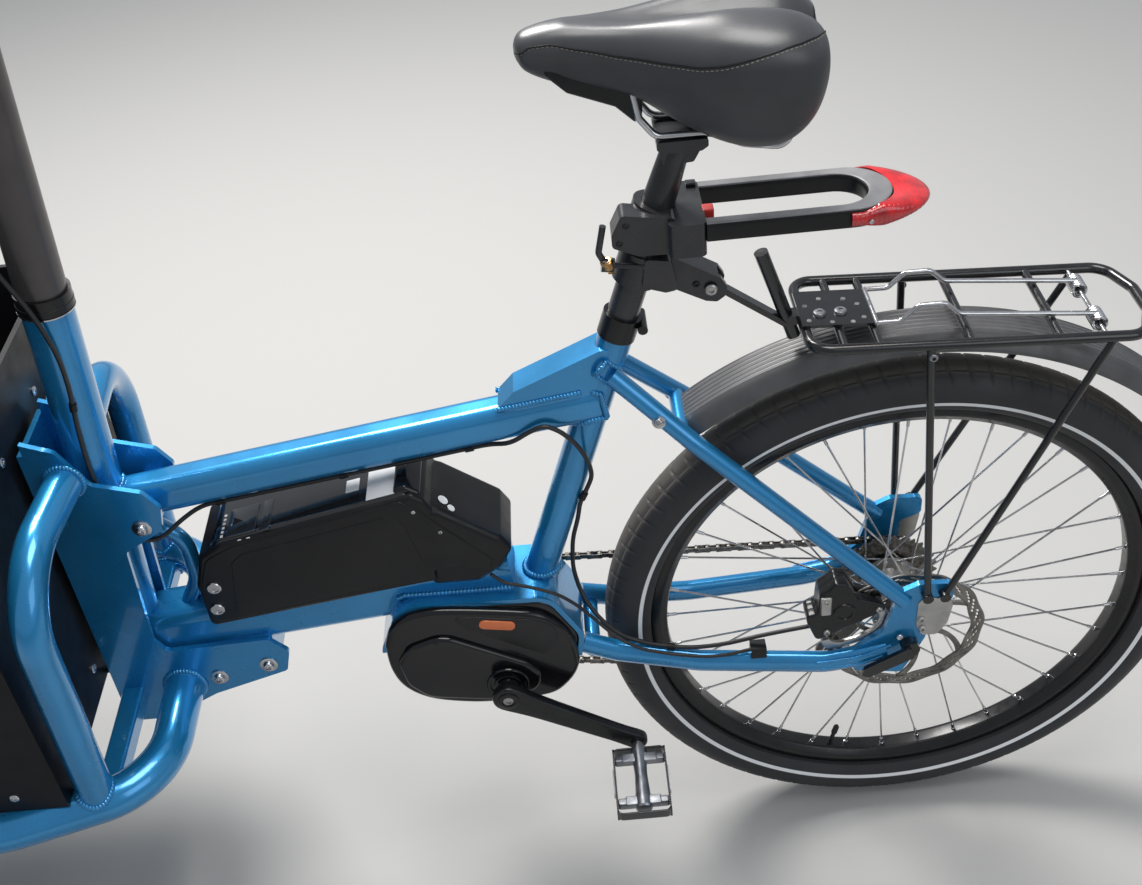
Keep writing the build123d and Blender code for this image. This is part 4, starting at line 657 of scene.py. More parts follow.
class BICYCLE_OT_wheels(Maker, bpy.types.Operator):
    """Rims with valves, hubs with crossed spokes, brake discs and the rear sprockets."""

    bl_idname = "bicycle.wheels"
    bl_label = "Rims, hubs and discs"

    def make(self):
        make_rim("rear", 286, 266, radians(-75.5))
        make_rim("front", 209.5, 190, radians(-60.5))
        make_hub("rear", 30, 28, 17, 13, 62, 266, 62)
        make_hub("front", 28, 24, 14, 10, 49.7, 190, 55)
        make_rotor("rear", 57, 13)
        make_rotor("front", 42, 10)
        shape, (x, z) = Shape(), AXLES["rear"]
        for radius, y, teeth in ((60.0, -37.0, 30), (54.0, -41.3, 27), (48.0, -45.6, 24), (39.3, -50.0, 20),
                                 (34.0, -54.3, 17), (29.0, -58.6, 14)):
            shape.grid(toothed((x, z), y, 1.8, 15, radius - 3.4, 3.4, teeth), close_u=True)
        shape.lathe([(-35.5, 13.6), (-35.5, 24), (-58, 20.5), (-59.5, 19), (-59.5, 13.6)], (x, 0, z),
                    steps=48)
        shape.piece("sprockets", "oiled chain", "cassette", "rear_wheel")


# Drive


def belt_line(wheels):
    """Closed line round wheels (x, z, radius, turn): straight runs tangent to both neighbours, and arcs."""
    runs = []
    for (x1, z1, r1, s1), (x2, z2, r2, s2) in zip(wheels, wheels[1:] + wheels[:1]):
        reach = np.hypot(x2 - x1, z2 - z1)
        a = np.arctan2(z2 - z1, x2 - x1) - np.arcsin((s1 * r1 - s2 * r2) / reach) + pi / 2
        way = np.array([cos(a), sin(a)])
        runs.append(((x1, z1) + s1 * r1 * way, (x2, z2) + s2 * r2 * way))
    rows = []
    for i, (x, z, r, turn) in enumerate(wheels):
        start, end = (np.arctan2(place[1] - z, place[0] - x) for place in (runs[i - 1][1], runs[i][0]))
        swing = turn * (start - end) % tau
        a = start - turn * swing * np.linspace(0, 1, 40)
        rows.append(np.stack([x + r * np.cos(a), z + r * np.sin(a)], 1))
    return np.concatenate(rows)


class BICYCLE_OT_chain(Maker, bpy.types.Operator):
    """Chain of inner and outer links on rollers, laid round the sprockets."""

    bl_idname = "bicycle.chain"
    bl_label = "Chain"

    def make(self):
        pitch = 12.7
        wheels = [(*BRACKET, 85.0, 1), (62.0, 200.0, 22.0, 1), (22.0, 270.0, 22.0, -1),
                  (*AXLES["rear"], 44.0, 1)]
        line = even_line(belt_line(wheels), pitch, closed=True)
        onward = np.roll(line, -1, 0)
        along = np.insert(unit(onward - line), 1, 0, axis=1)
        across = np.tile([0.0, 1, 0], (len(line), 1))
        origin = np.insert((line + onward) / 2, 1, -50, axis=1)
        axes = np.stack([along, across, np.cross(along, across)], 1)
        odd = np.arange(len(line)) % 2 == 1
        a = np.radians([-60, 0, 60])
        end = np.stack([pitch / 2 + 4.0 * np.cos(a), 4.0 * np.sin(a)], 1)
        plan = np.concatenate([end, [[0, 2.9]], end[::-1] * (-1, 1), [[0, -2.9]]])
        shape = Shape()
        for chosen, y in ((odd, 3.0), (~odd, 1.95)):
            for side in (y, -y):
                shape.copies(prism(plan, side - 0.45, side + 0.45), origin[chosen], axes[chosen])
        for radius, half in ((3.6, 1.5), (1.8, 3.9)):
            shape.copies(prism(ring(radius, 8) + (pitch / 2, 0), -half, half), origin, axes)
        shape.piece("chain_links", "oiled chain", "chain", crease=35)


class BICYCLE_OT_cranks(Maker, bpy.types.Operator):
    """Crank arms, the toothed chainring with its spider, and the two cage pedals."""

    bl_idname = "bicycle.cranks"
    bl_label = "Cranks and pedals"

    def make(self):
        arms, bolts, hub = Shape(), Shape(), BRACKET
        for end_x, end_z, side in PEDALS.values():
            end = np.array([end_x, end_z])
            along = unit(end - hub)
            across = np.array([-along[1], along[0]])
            s = np.linspace(0, 1, 26)[:, None]
            half = 15.5 - 5.2 * s + 2.6 * np.exp(-(s / 0.14) ** 2) + 1.6 * np.exp(-((1 - s) / 0.10) ** 2)
            middle = hub + (end - hub) * s
            a = np.linspace(pi / 2, -pi / 2, 11)[1:-1, None]
            tip = end + half[-1] * (along * np.cos(a) + across * np.sin(a))
            heel = hub - half[0] * (along * np.cos(a) + across * np.sin(a))
            plan = np.concatenate([middle + across * half, tip, (middle - across * half)[::-1], heel])[::-1]
            arms.slab(plan, *sorted((side * 79.6, side * 92.4)), edge=3.2)
            for profile, place, steps in (
                    ([(91.5, 12.6), (93.6, 12.4), (94.4, 11.2), (94.4, 7.2), (92.8, 6.8), (92.8, 0.01)],
                     BRACKET_PLACE, 36),
                    ([(91.5, 9.5), (93.2, 9.3), (93.8, 8.2), (93.8, 0.01)], (end_x, 0, end_z), 30)):
                arms.lathe([(side * h, r) for h, r in profile], place, steps=steps)
            bolts.bolt((hub[0], side * 92.7, hub[1]), (0, side, 0), 6.2, 1.5)
        arms.lathe([(-80, 0.01), (-80, 11.8), (80, 11.8), (80, 0.01)], BRACKET_PLACE, steps=36)
        bolts.piece("crank_bolts", "worn steel", body="crank")
        arms.piece("crank_pair", "anodised black", "crank_arms", "crank")
        chainring = Shape().grid(toothed(hub, -50, 2.2, 63, 80.2 - 3.0, 4.0, 42), close_u=True)
        for i in range(5):
            turn = tau / 5 * i + 0.3
            out = np.array([cos(turn), sin(turn)])
            over = np.array([-out[1], out[0]])
            plan = [hub + out * r + over * w for r, w in ((16, -9), (66, -6.5), (66, 6.5), (16, 9))]
            chainring.plate(plan, 3, -51.2, -47.0, edge=0.8)
            chainring.bolt(around(hub, 66, turn, -51.2), (0, -1, 0), 4.2, 2.2)
        chainring.lathe([(-49, 12.5), (-49, 22), (-52, 22), (-79.0, 20), (-79.0, 12.5)], BRACKET_PLACE)
        chainring.piece("chainring_toothed", "anodised black", "chainring", "crank")
        for key, (x, z, side) in PEDALS.items():
            self.pedal(key, x, z, side)

    def pedal(self, key, x, z, side):
        """Cage with a row of teeth, a barrel on its spindle and two bridges."""
        inner, rider = side * 102.5, "pedal_%s_body" % key
        middle = inner + side * 46
        u = np.linspace(-1, 1, 113)
        teeth = 7.2 + 1.8 * (0.5 + 0.5 * np.cos(u * 14 * pi)) * (np.abs(u) < 0.93)
        cage, plates, body = Shape(), Shape(), Shape()
        reach = 29.6
        for half_x in (-reach, reach):
            rows = [(np.full_like(u, x + half_x + a * 1.15), middle + u * 44, z + b * teeth)
                    for a, b in ((-1, -1), (1, -1), (1, 1), (-1, 1))]
            cage.grid(np.stack(rows).transpose(2, 0, 1))
            plates.grid(box_grid((x + half_x * 31.4 / reach, middle, z), (2.2, 34, 9), 0.7))
        for place in (-1, 1):
            near, far = middle + place * 38, middle + place * 45
            line = bent_line([(x - reach, near, z), (x - reach, far, z), (x + reach, far, z),
                              (x + reach, near, z)], [6, 6])
            cage.grid(carried(line, soft_box(2.3, 12, 6, 24), up=(0, 0, 1)))
        cage.piece("pedal_cage_" + key, "gloss black", "pedal_" + key, rider, "black_metal")
        plates.piece("pedal_plates_" + key, "blank label", body=rider, slot="black_metal")
        barrel = [(80, 0.01), (80, 5.9), (99, 5.9), (101, 8.6), (106, 9.4), (110, 8.6), (138, 7.2),
                  (166, 8.6), (172, 9.4), (184, 9.4), (186, 7.6), (186.6, 0.01)]
        body.lathe([(side * h, r) for h, r in barrel], (x, 0, z), steps=32)
        for place in (inner + side * 14, inner + side * 74):
            body.grid(box_grid((x, place, z), (57.5, 9, 10), 1.5))
            body.grid(box_grid((x, place, z + 4.2), (40, 12, 3.2), 1.0))
        body.piece("pedal_body_" + key, "cast alloy", body=rider, slot="black_metal")


# Motor and battery

MOTOR_OUTLINE = [(589, 372), (562, 434), (400, 430), (369, 372), (382, 296), (440, 291), (556, 294)]
MOTOR_FACE = [
    # side view of the motor's near face
    (586, 390), (576, 416), (558, 431), (530, 437), (487, 433), (422, 421), (400, 409), (382, 385),
    (374, 355), (375, 328), (389, 303), (413, 287), (474, 283), (515, 288), (551, 300), (575, 322),
    (585, 352),
]
MOTOR_CAP = [(576, 366), (562, 390), (528, 402), (511, 399), (430, 350), (416, 330), (420, 304), (470, 291),
             (549, 306), (570, 330)]
MOTOR_PANEL = [(508, 428), (495, 411), (469, 394), (430, 369), (409, 357), (393, 373), (392, 400), (421, 415),
               (480, 426)]
BATTERY_OUTLINE = [(775, 432), (776, 495), (764, 536), (738, 552), (526, 595), (514, 586), (500, 556),
                   (492, 512), (518, 497), (520, 470)]
BATTERY_SIDE = [(768, 440), (770, 498), (757, 533), (731, 546), (721, 550), (538, 589), (519, 572),
                (499, 548), (477, 524), (481, 496), (517, 488), (517, 473)]
BATTERY_PANEL = [(742, 455), (738, 447), (556, 479), (541, 487), (528, 506), (540, 560), (556, 571),
                 (716, 538), (730, 527)]
SHOE_OUTLINE = [(524, 462), (517, 578), (500, 570), (441, 524), (430, 504), (444, 480), (470, 462)]
SHOE_FLANK = [(516, 470), (512, 560), (474, 520), (452, 496), (458, 478), (474, 470)]
DECK_FRONT, DECK_BACK = np.array([738.0, 552.0]), np.array([526.0, 595.0])


class BICYCLE_OT_motor(Maker, bpy.types.Operator):
    """Motor housing: case, raised cover with creases, crank collar, screws and a bare badge."""

    bl_idname = "bicycle.motor"
    bl_label = "Motor"

    def make(self):
        case, screws = Shape(), Shape()
        case.plate(MOTOR_OUTLINE, 26, -37.8, 50, edge=4, step=0.14)
        face = even_line(smooth_line(MOTOR_FACE + MOTOR_FACE[:1], 10)[:-1], 5, closed=True)
        case.slab(inset(face, -1.5), 47, 60, edge=6.5, turns=8)
        case.plate(MOTOR_CAP, [16, 18, 30, 30, 20, 14, 22, 60, 30, 24], 57, 66, edge=5.2, turns=8, step=0.14)
        case.lathe([(60, 0.01), (60, 25), (66.6, 24.6), (68.0, 23.4), (68.0, 20.5), (66.8, 19.8), (66.8, 16),
                    (69.5, 15.6), (70.2, 14.6), (70.2, 0.01)], BRACKET_PLACE)
        case.lathe([(-37, 0.01), (-37, 26), (-41, 26), (-43.4, 23), (-43.4, 0.01)], BRACKET_PLACE, steps=48)
        case.piece("motor_case", "cover black", "motor_housing")
        panel = Shape().plate(MOTOR_PANEL, [2, 8, 20, 12, 8, 8, 10, 16, 30], 58.5, 61.2, edge=0.9, step=0.2)
        panel.piece("motor_panel", "satin black")
        for x, z in ((572, 402), (531, 428), (391, 388), (388, 320), (574, 336)):
            screws.bolt((x, 57.6, z), (0, 1, 0), 3.0, 1.8)
        screws.bolt((528, 65.4, 396), (0, 1, 0), 2.6, 1.2)
        screws.piece("motor_screws", "anodised black")
        lean = np.array([cos(radians(11)), sin(radians(11))])
        axes = np.stack([lean, (-lean[1], lean[0])])
        plan = (458.0, 411.5) + np.array([(-20, -6.6), (20, -6.6), (20, 6.6), (-20, 6.6)]) @ axes
        Shape().plate(plan, 6, 60.4, 62.4, edge=0.6, step=0.2).piece("motor_badge", "orange badge")


class BICYCLE_OT_battery(Maker, bpy.types.Operator):
    """Battery case on its shoe: pressed side panels, glossy top deck, handle, lock and bare labels."""

    bl_idname = "bicycle.battery"
    bl_label = "Battery"

    def make(self):
        case = Shape().plate(BATTERY_OUTLINE, 7, -44.6, 44.6, edge=5.5, turns=7, step=0.2)
        for low, high, raised in ((43.0, 45.8, (43.0, 46.5)), (-45.8, -43.0, (-46.5, -45.8))):
            case.plate(BATTERY_SIDE, [8, 20, 20, 10, 6, 6, 12, 12, 6, 6, 4, 4], low, high, 1.5, 5, 0.2)
            case.plate(BATTERY_PANEL, [8, 4, 4, 12, 12, 14, 8, 10, 10], *raised, 0.7, 4, 0.2)
        case.piece("battery_shell", "moulded black", "battery_case")
        shoe = Shape().plate(SHOE_OUTLINE, 9, -44.4, 44.4, edge=9, turns=8, step=0.2)
        shoe.plate(SHOE_FLANK, 7, 40, 45.4, edge=1.6, turns=5, step=0.2)
        shoe.piece("battery_shoe", "moulded black", "battery_mount")
        along = unit(DECK_BACK - DECK_FRONT)
        slope = np.stack([along, (along[1], -along[0])])
        for name, look, places, half, edge, turns in (
                ("battery_deck", "gloss black",
                 [(-24, -14), (-6, 1.8), (0, 3.0), (208, 3.0), (214, -3), (208, -10)], 40.5, 5.5, 8),
                ("battery_handle", "cover black",
                 [(196, 1), (200, 9.5), (212, 8.5), (226, -6), (214, -14), (198, -8)], 38, 4.5, 7)):
            Shape().plate(DECK_FRONT + places @ slope, 4, -half, half, edge, turns).piece(name, look)
        self.deck_parts()
        locks, screws, seals = Shape(), Shape(), Shape()
        for x, z in ((757, 493), (761, 461)):
            locks.lathe([(44, 0.01), (44, 8.2), (47.2, 8.0), (48.2, 7.0), (48.2, 5.2), (47.0, 4.9),
                         (47.0, 2.4), (46.2, 2.2), (46.2, 0.01)], (x, 0, z), steps=28)
        locks.piece("battery_locks", "polished steel")
        for place in ((503, 45.0, 542), (527, 45.9, 574)):
            screws.bolt(place, (0, 1, 0), 2.4, 1.2)
        screws.piece("battery_screws", "polished steel")
        for place, r in (((497, 24, 568.6), 6.0), ((489, 31, 562.2), 4.6)):
            seals.lathe([(0, 0.01), (0, r), (0.5, r - 0.3), (0.5, 0.01)], place, (-0.62, 0.0, 0.78), 28)
        seals.piece("battery_seals", "blank label")

    def deck_parts(self):
        """Display window with its row of lights at the deck's front, and bare labels at its back."""
        along = np.insert(unit(DECK_BACK - DECK_FRONT), 1, 0)
        axes = np.stack([along, (0, 1, 0), np.cross((0, 1, 0), along)])
        lamps = [((3.4, k * 6.6 + 2, 3.2), (3.0, 3.4, 1.0), 0.3) for k in range(6)]
        lamps += [((23 + 10 * k, 42.6, -1.6), (4.4, 1.0, 1.6), 0.3) for k in range(2)]
        for name, look, blocks in (
                ("battery_display", "dark glass", [((26, 18, 3.6), (33, 44, 2.2), 0.8),
                                                   ((53, 18, 3.2), (11, 48, 1.6), 0.6)]),
                ("battery_lamps", "blank label", lamps),
                ("battery_label", "blank label", [((186, 6, 3.2), (38, 62, 0.6), 0.2),
                                                  ((150, 6, 3.2), (15, 20, 0.5), 0.2)])):
            shape = Shape()
            for place, size, edge in blocks:
                shape.grid(box_grid(np.insert(DECK_FRONT, 1, 0) + place @ axes, size, edge, axes))
            shape.piece(name, look)


# Saddle

SADDLE_STATIONS = np.array([
    # X, half width, crown Z at the middle, height of the widest line, underside Z, fullness
    (368.5, 3.0, 1049, 1044, 1040, 2.0),
    (366.0, 10.5, 1055, 1045, 1034, 2.1),
    (360.0, 16.5, 1060, 1044, 1026, 2.2),
    (345.0, 21.5, 1064, 1042, 1018, 2.3),
    (327.0, 24.5, 1066, 1041, 1012, 2.4),
    (300.0, 29.0, 1067, 1039, 1006, 2.5),
    (270.0, 37.0, 1068, 1036, 997, 2.5),
    (240.0, 50.0, 1070, 1033, 977, 2.5),
    (215.0, 63.0, 1072, 1031, 962, 2.5),
    (190.0, 72.0, 1074, 1030, 950, 2.5),
    (165.0, 76.5, 1073, 1030, 944, 2.5),
    (142.0, 76.0, 1070, 1029, 946, 2.5),
    (125.0, 72.0, 1065, 1027, 956, 2.4),
    (113.0, 64.0, 1058, 1025, 972, 2.3),
    (105.0, 48.0, 1049, 1024, 992, 2.1),
    (101.0, 22.0, 1039, 1023, 1008, 2.0),
])
SEAM = np.array([
    # X, angle round the cover's section
    (366.0, 0.0), (362.0, 0.10), (355.0, 0.44), (338.0, 0.49), (316.0, 0.28), (284.0, 0.13), (247.0, 0.10),
    (215.0, 0.12), (197.0, 0.17), (179.0, 0.26), (153.0, 0.42), (132.0, 0.58), (118.0, 0.74), (108.0, 0.92),
    (102.0, 1.10),
])


def saddle_station(u):
    """The six values of a section at a share of the saddle's length."""
    stations = smooth_line(SADDLE_STATIONS, 10)
    return [np.interp(u, np.linspace(0, 1, len(stations)), column) for column in stations.T]


def saddle_surface(u, v):
    """Point on the cover: stations blended along u; round the section, y = w sin-like and z from crown to
    underside as a superellipse; a hollow along the middle of the top ends in a notch at the back."""
    x, half, crown, wide, low, power = saddle_station(u)
    c, d = np.cos(v), np.sin(v)
    y = half * np.sign(c) * np.abs(c) ** (2 / power)
    rise = np.sign(d) * np.abs(d) ** (2 / power)
    z = np.where(rise > 0, wide + (crown - wide) * rise, wide + (wide - low) * rise)
    hollow = 19.0 * np.exp(-(y / 16) ** 2) * np.clip((325 - x) / 130, 0, 1) * np.clip(rise, 0, 1) ** 1.5
    notch = 13.0 * np.exp(-(y / 17) ** 2) * np.clip((140 - x) / 36, 0, 1) * np.clip(rise + 0.25, 0, 1)
    return np.stack([x + notch, y, z - hollow], -1)


class BICYCLE_OT_saddle(Maker, bpy.types.Operator):
    """Padded saddle with stitched seams, its base and its rails."""

    bl_idname = "bicycle.saddle"
    bl_label = "Saddle"

    def make(self):
        u, v = np.meshgrid(np.linspace(0, 1, 90), np.linspace(0, tau, 96, endpoint=False), indexing="ij")
        cover = Shape().grid(saddle_surface(u, v)).piece("saddle_cover", saddle_finish(), "saddle",
                                                         slot="saddle_cover", crease=70)
        self.seams()
        base, rails = Shape(), Shape()
        base.plate([(350, 1032), (327, 1009), (286, 992), (270, 976), (263, 976), (261, 1000), (262, 1036)],
                   [4, 20, 12, 5, 3, 6, 4], -22, 22, edge=4, step=0.25)
        base.plate([(160, 990), (164, 962), (140, 952), (119, 969), (111, 992)], [4, 6, 8, 8, 4], -40, 40,
                   edge=4, step=0.25)
        base.piece("saddle_base", "moulded black")
        route = [(272, 19, 1014), (266, 21, 980), (252, 21, 961), (205, 21, 960.6), (176, 38, 955),
                 (142, 40, 950), (118, 38, 990)]
        for side in (1, -1):
            rails.tube(bent_line(route * np.array([1, side, 1]), [10, 14, 30, 14, 12]), 3.5, 16)
        rails.piece("saddle_rails_bent", "polished steel", "saddle_rails")

    def seams(self):
        """Seam lines on the cover as a sunken dark cord with small stitches beside it."""
        threads, welt = Shape(), Shape()
        pitch = size_mm("stitch_pitch")
        t = np.linspace(0.035, 0.965, 220)
        lift = np.interp(-saddle_station(t)[0], -SEAM[:, 0], SEAM[:, 1])
        for side, angle in ((1, lift), (-1, pi - lift)):
            welt.tube(even_line(saddle_surface(t, angle), pitch), 0.95, 8)
            near = even_line(saddle_surface(t, angle - side * 0.05), pitch)
            step = unit(near[1:] - near[:-1])
            up = unit(np.cross(step, np.cross((0, 0, 1), step)))
            axes = np.stack([step, np.cross(up, step), up], 1)
            threads.copies(prism(ring(0.42, 6), -1.2, 1.2, axis=0), (near[:-1] + near[1:]) / 2, axes)
        welt.piece("saddle_welt", "moulded black", slot="saddle_cover")
        threads.piece("saddle_stitches", "thread pale")


# Lamp and its bracket


class BICYCLE_OT_lamp(Maker, bpy.types.Operator):
    """Carrier loop behind the seatpost with a painted highlight along its top, the rear lamp on its bend, its
    button and screws.
    """

    bl_idname = "bicycle.lamp"
    bl_label = "Rear lamp"

    def make(self):
        a = np.linspace(-pi / 2, pi / 2, 40)
        outer, inner = (
            np.concatenate([[(211, -r)], np.stack([x - r * np.cos(a), r * np.sin(a)], 1), [(211, r)]])
            for x, r in ((74, 41), (87, 29)))
        middle, half = (outer + inner) / 2, (outer - inner) / 2
        for name, look, node, section, width, level in (
                ("loop_bar", "moulded black", "carrier_loop", soft_box(2, 20, 5, 32), 1.0, 870),
                # the second row is a painted highlight: a pale grey cap on the loop's top face stands in for
                # the light's reflection
                ("loop_top", "dusty grey", None, soft_box(2, 2.4, 4, 20), 0.86, 879.3)):
            plan = middle[:, None] + half[:, None] * width * section[None, :, :1]
            rise = np.broadcast_to(level + section[None, :, 1:], (*plan.shape[:2], 1))
            Shape().grid(np.concatenate([plan, rise], -1)).piece(name, look, node)
        self.lens()
        screws = Shape()
        for side in (1, -1):
            screws.bolt((62, side * 45.5, 868.5), (-0.2, side, 0), 2.4, 1.0)
        screws.piece("lamp_screws", "polished steel")
        Shape().grid(box_grid((207, 12, 875), (11, 13, 13), 1.2)).piece("lamp_button", "red button")
        self.bracket_trim()

    def lens(self):
        """Lens over the loop's bend: its reach grows backwards with cos^3, its edge thins with cos^0.62."""
        turn = np.radians(np.linspace(-97, 97, 72))[:, None]
        t = np.radians(np.linspace(-90, 90, 19))
        back = np.clip(np.cos(turn), 0, 1)
        radius = 40.8 + (5.0 + 29.2 * back ** 3) * np.clip(np.cos(t), 0, 1) ** 0.62
        high = 6.6 + 5.2 * np.clip((np.cos(turn) - 0.15) / 0.4, 0, 1) - 4.8 * back ** 4
        shell = np.stack([74 - radius * np.cos(turn), radius * np.sin(turn), 870 + high * np.sin(t)], -1)
        Shape().grid(shell).piece("lamp_lens", lens_finish(), "tail_lamp", slot="red_lens")

    def bracket_trim(self):
        """Screws, rivets, eccentric nut and cap of the bracket that holds the loop."""
        dark, bright, brass = Shape(), Shape(), Shape()
        for x, z in ((284, 880), (291, 862)):
            dark.bolt((x, 30.4, z), (0, 1, 0), 3.4, 1.6)
        for side in (1, -1):
            dark.bolt((220, side * 13.7, 800), (0, side, 0), 3.6, 2.0)
            bright.bolt((206, side * 16.4, 794), (0, side, 0), 6.2, 3.0)
        brass.lathe([(-4.6, 0.01), (-4.6, 5.0), (-4.0, 6.0), (4.0, 6.0), (4.6, 5.2), (4.6, 3.0), (2.4, 2.8),
                     (2.4, 0.01)], (303.4, 24, 838), (0.30, 0.25, 0.92), 28)
        brass.lathe([(0, 0.01), (0, 5.4), (6, 5.4), (6.6, 4.6), (6.6, 0.01)], (297, 21, 831), (1, 0, 0), 24)
        dark.piece("bracket_screws", "anodised black")
        bright.piece("bracket_rivets", "worn steel")
        brass.piece("bracket_nut", "dull brass")
        Shape().grid(box_grid((218, -33, 883.4), (10, 9, 3), 0.8)).piece("bracket_cap", "gloss black")


# Frame joints


def bar_axes(along, up):
    """Side and top vectors across a bar."""
    side = unit(np.cross(along, up))
    return side, np.cross(side, along)


def depth_in(points, start, end, half_side, half_top, power, up=(0, 1, 0)):
    """Below zero inside a bar: |a / w|^p + |b / h|^p - 1 across its axis."""
    side, top = bar_axes(unit(np.subtract(end, start)), up)
    away = points - start
    return (np.abs(away @ side) / half_side) ** power + (np.abs(away @ top) / half_top) ** power - 1


def joint_ring(place, along, section, bar, up=(0, 1, 0), reach=90):
    """Where a bar's skin first meets another bar: each skin line is halved 30 times between out and in."""
    side, top = bar_axes(along, up)
    skin = np.asarray(place, float) + section[:, :1] * side + section[:, 1:] * top
    far, near = np.full(len(skin), -float(reach)), np.zeros(len(skin))
    for _ in range(30):
        half = (far + near) / 2
        inside = depth_in(skin + half[:, None] * along, *bar) < 0
        near, far = np.where(inside, half, near), np.where(inside, far, half)
    return skin + near[:, None] * along


def bead(shape, line, size, closed=True, pitch=3.6):
    """Weld bead: a bar whose radius rises and falls once per pitch, r (0.8 + 0.2 |cos|^0.6), like coins."""
    line = even_line(line, pitch / 4, closed)
    if closed:
        line = line[: len(line) // 4 * 4]
    phase = np.arange(len(line)) % 4 / 4
    swell = 0.80 + 0.20 * np.abs(np.cos(pi * phase)) ** 0.6
    up = np.linalg.svd(line - line.mean(0), full_matrices=False)[2][-1] if closed else None
    shape.grid(carried(line, ring(size, 10) * swell[:, None, None], up, closed), close_u=closed)


def head_at(z):
    """Point on the steering axis at a height."""
    return np.array([840.4 + 0.07 * (845 - z), 0, z])


def fork_at(z):
    """Point on the fork's axis at a height."""
    return np.array([AXLES["front"][0] + 60 - z / np.tan(radians(70)), 0, z])


class BICYCLE_OT_welds(Maker, bpy.types.Operator):
    """Weld beads round the joints of the frame and the cradle."""

    bl_idname = "bicycle.welds"
    bl_label = "Welds"

    def make(self):
        size = size_mm("bead_size")
        self.frame_beads(size)
        self.cradle_beads(size)

    def frame_beads(self, size):
        """Beads round the ends of the top tube, seat tube, stays and strut, and along the gussets."""
        beads = Shape()
        seat = (SEAT_FOOT, SEAT_TOP, 18, 18, 2)
        top_front, top_rear = np.array([846.0, 0, 591]), np.array([322.0, 0, 668])
        section = soft_box(42, 40, 3.6, 60)
        along = unit(top_front - top_rear)
        head = (head_at(400), head_at(845), 25, 25, 2)
        bead(beads, joint_ring(top_front + along * 12, along, section, head), size)
        bead(beads, joint_ring(top_rear - along * 4, -along, section, seat), size)
        drop = unit(SEAT_FOOT - SEAT_TOP)
        foot = SEAT_TOP + drop * ((SEAT_TOP[2] - 439) / -drop[2])
        bead(beads, foot + ring(1, 60) @ [(19.6, 0, 0.02 * 19.6), (0, 18.4, 0)], size)
        for s in (1, -1):
            start, end = np.array([309.0, s * 18.3, 706]), np.array([228.0, s * 41, 625])
            along = unit(start - end)
            bead(beads, joint_ring(start + along * 14, along, ring(10, 40), seat, (0, 0, 1)), size * 0.8)
            gusset = [(428, s * 17.2, 675), (408, s * 17.2, 677.6), (340, s * 17.2, 687)]
            hoop = [(566, s * 30.4, 437), (558, s * 30.4, 440.5), (436, s * 30.4, 437.6)]
            bead(beads, gusset, size * 0.9, False)
            bead(beads, hoop, size * 1.25, False, 4.2)
            bead(beads, circle(243, 637, 8, s * 35.5, 24), size * 0.6)
            bead(beads, circle(355, 336, 9, s * 38.0, 24), size * 0.6)
        strut, foot = np.array([828.0, 0, 568]), np.array([788.0, 0, 528])
        along = unit(strut - foot)
        top_bar = (top_rear, top_front, 21, 20, 3.6)
        bead(beads, joint_ring(strut + along * 10, along, ring(9, 30), top_bar, reach=60), size * 0.75)
        beads.piece("frame_welds", "weld bead")

    def cradle_beads(self, size):
        """Beads where the cradle's rails, braces, cross tubes, neck and hoop meet."""
        beads = Shape()
        rail = (np.array([829.0, 180, 340]), np.array([992.0, 228, 340]), 22.5, 22.5, 2, (0, 0, 1))
        for s in (1, -1):
            for x, z, r in ((872, 653, 19), (829, 340, 22.5)):
                bead(beads, circle(x, z, r + 0.4, s * 41.0, 48), size)
            foot = joint_ring((893, 198, 340), (0, 0, -1), ring(19, 48), rail, (1, 0, 0), 60)
            bead(beads, foot * (1, s, 1), size)
            for x, z, flank in ((890, 330, 176), (1130, 350, 208), (1280, 350, 208), (1430, 350, 208)):
                square = np.insert(soft_box(26, 26, 8, 40), 1, 0, axis=1)
                bead(beads, square + (x, s * flank, z), size * 0.7)
        post = (fork_at(590), fork_at(715), 25, 25, 2)
        along = unit(fork_at(622) - (1585, 0, 620))
        bead(beads, joint_ring(fork_at(622), along, ring(18, 48), post), size)
        for s in (1, -1):
            along = unit(fork_at(682) - (1585, s * 90, 620))
            bead(beads, joint_ring(fork_at(682), along, ring(13, 40), post, (0, 0, 1)), size * 0.8)
        beads.piece("cradle_welds", "weld bead")


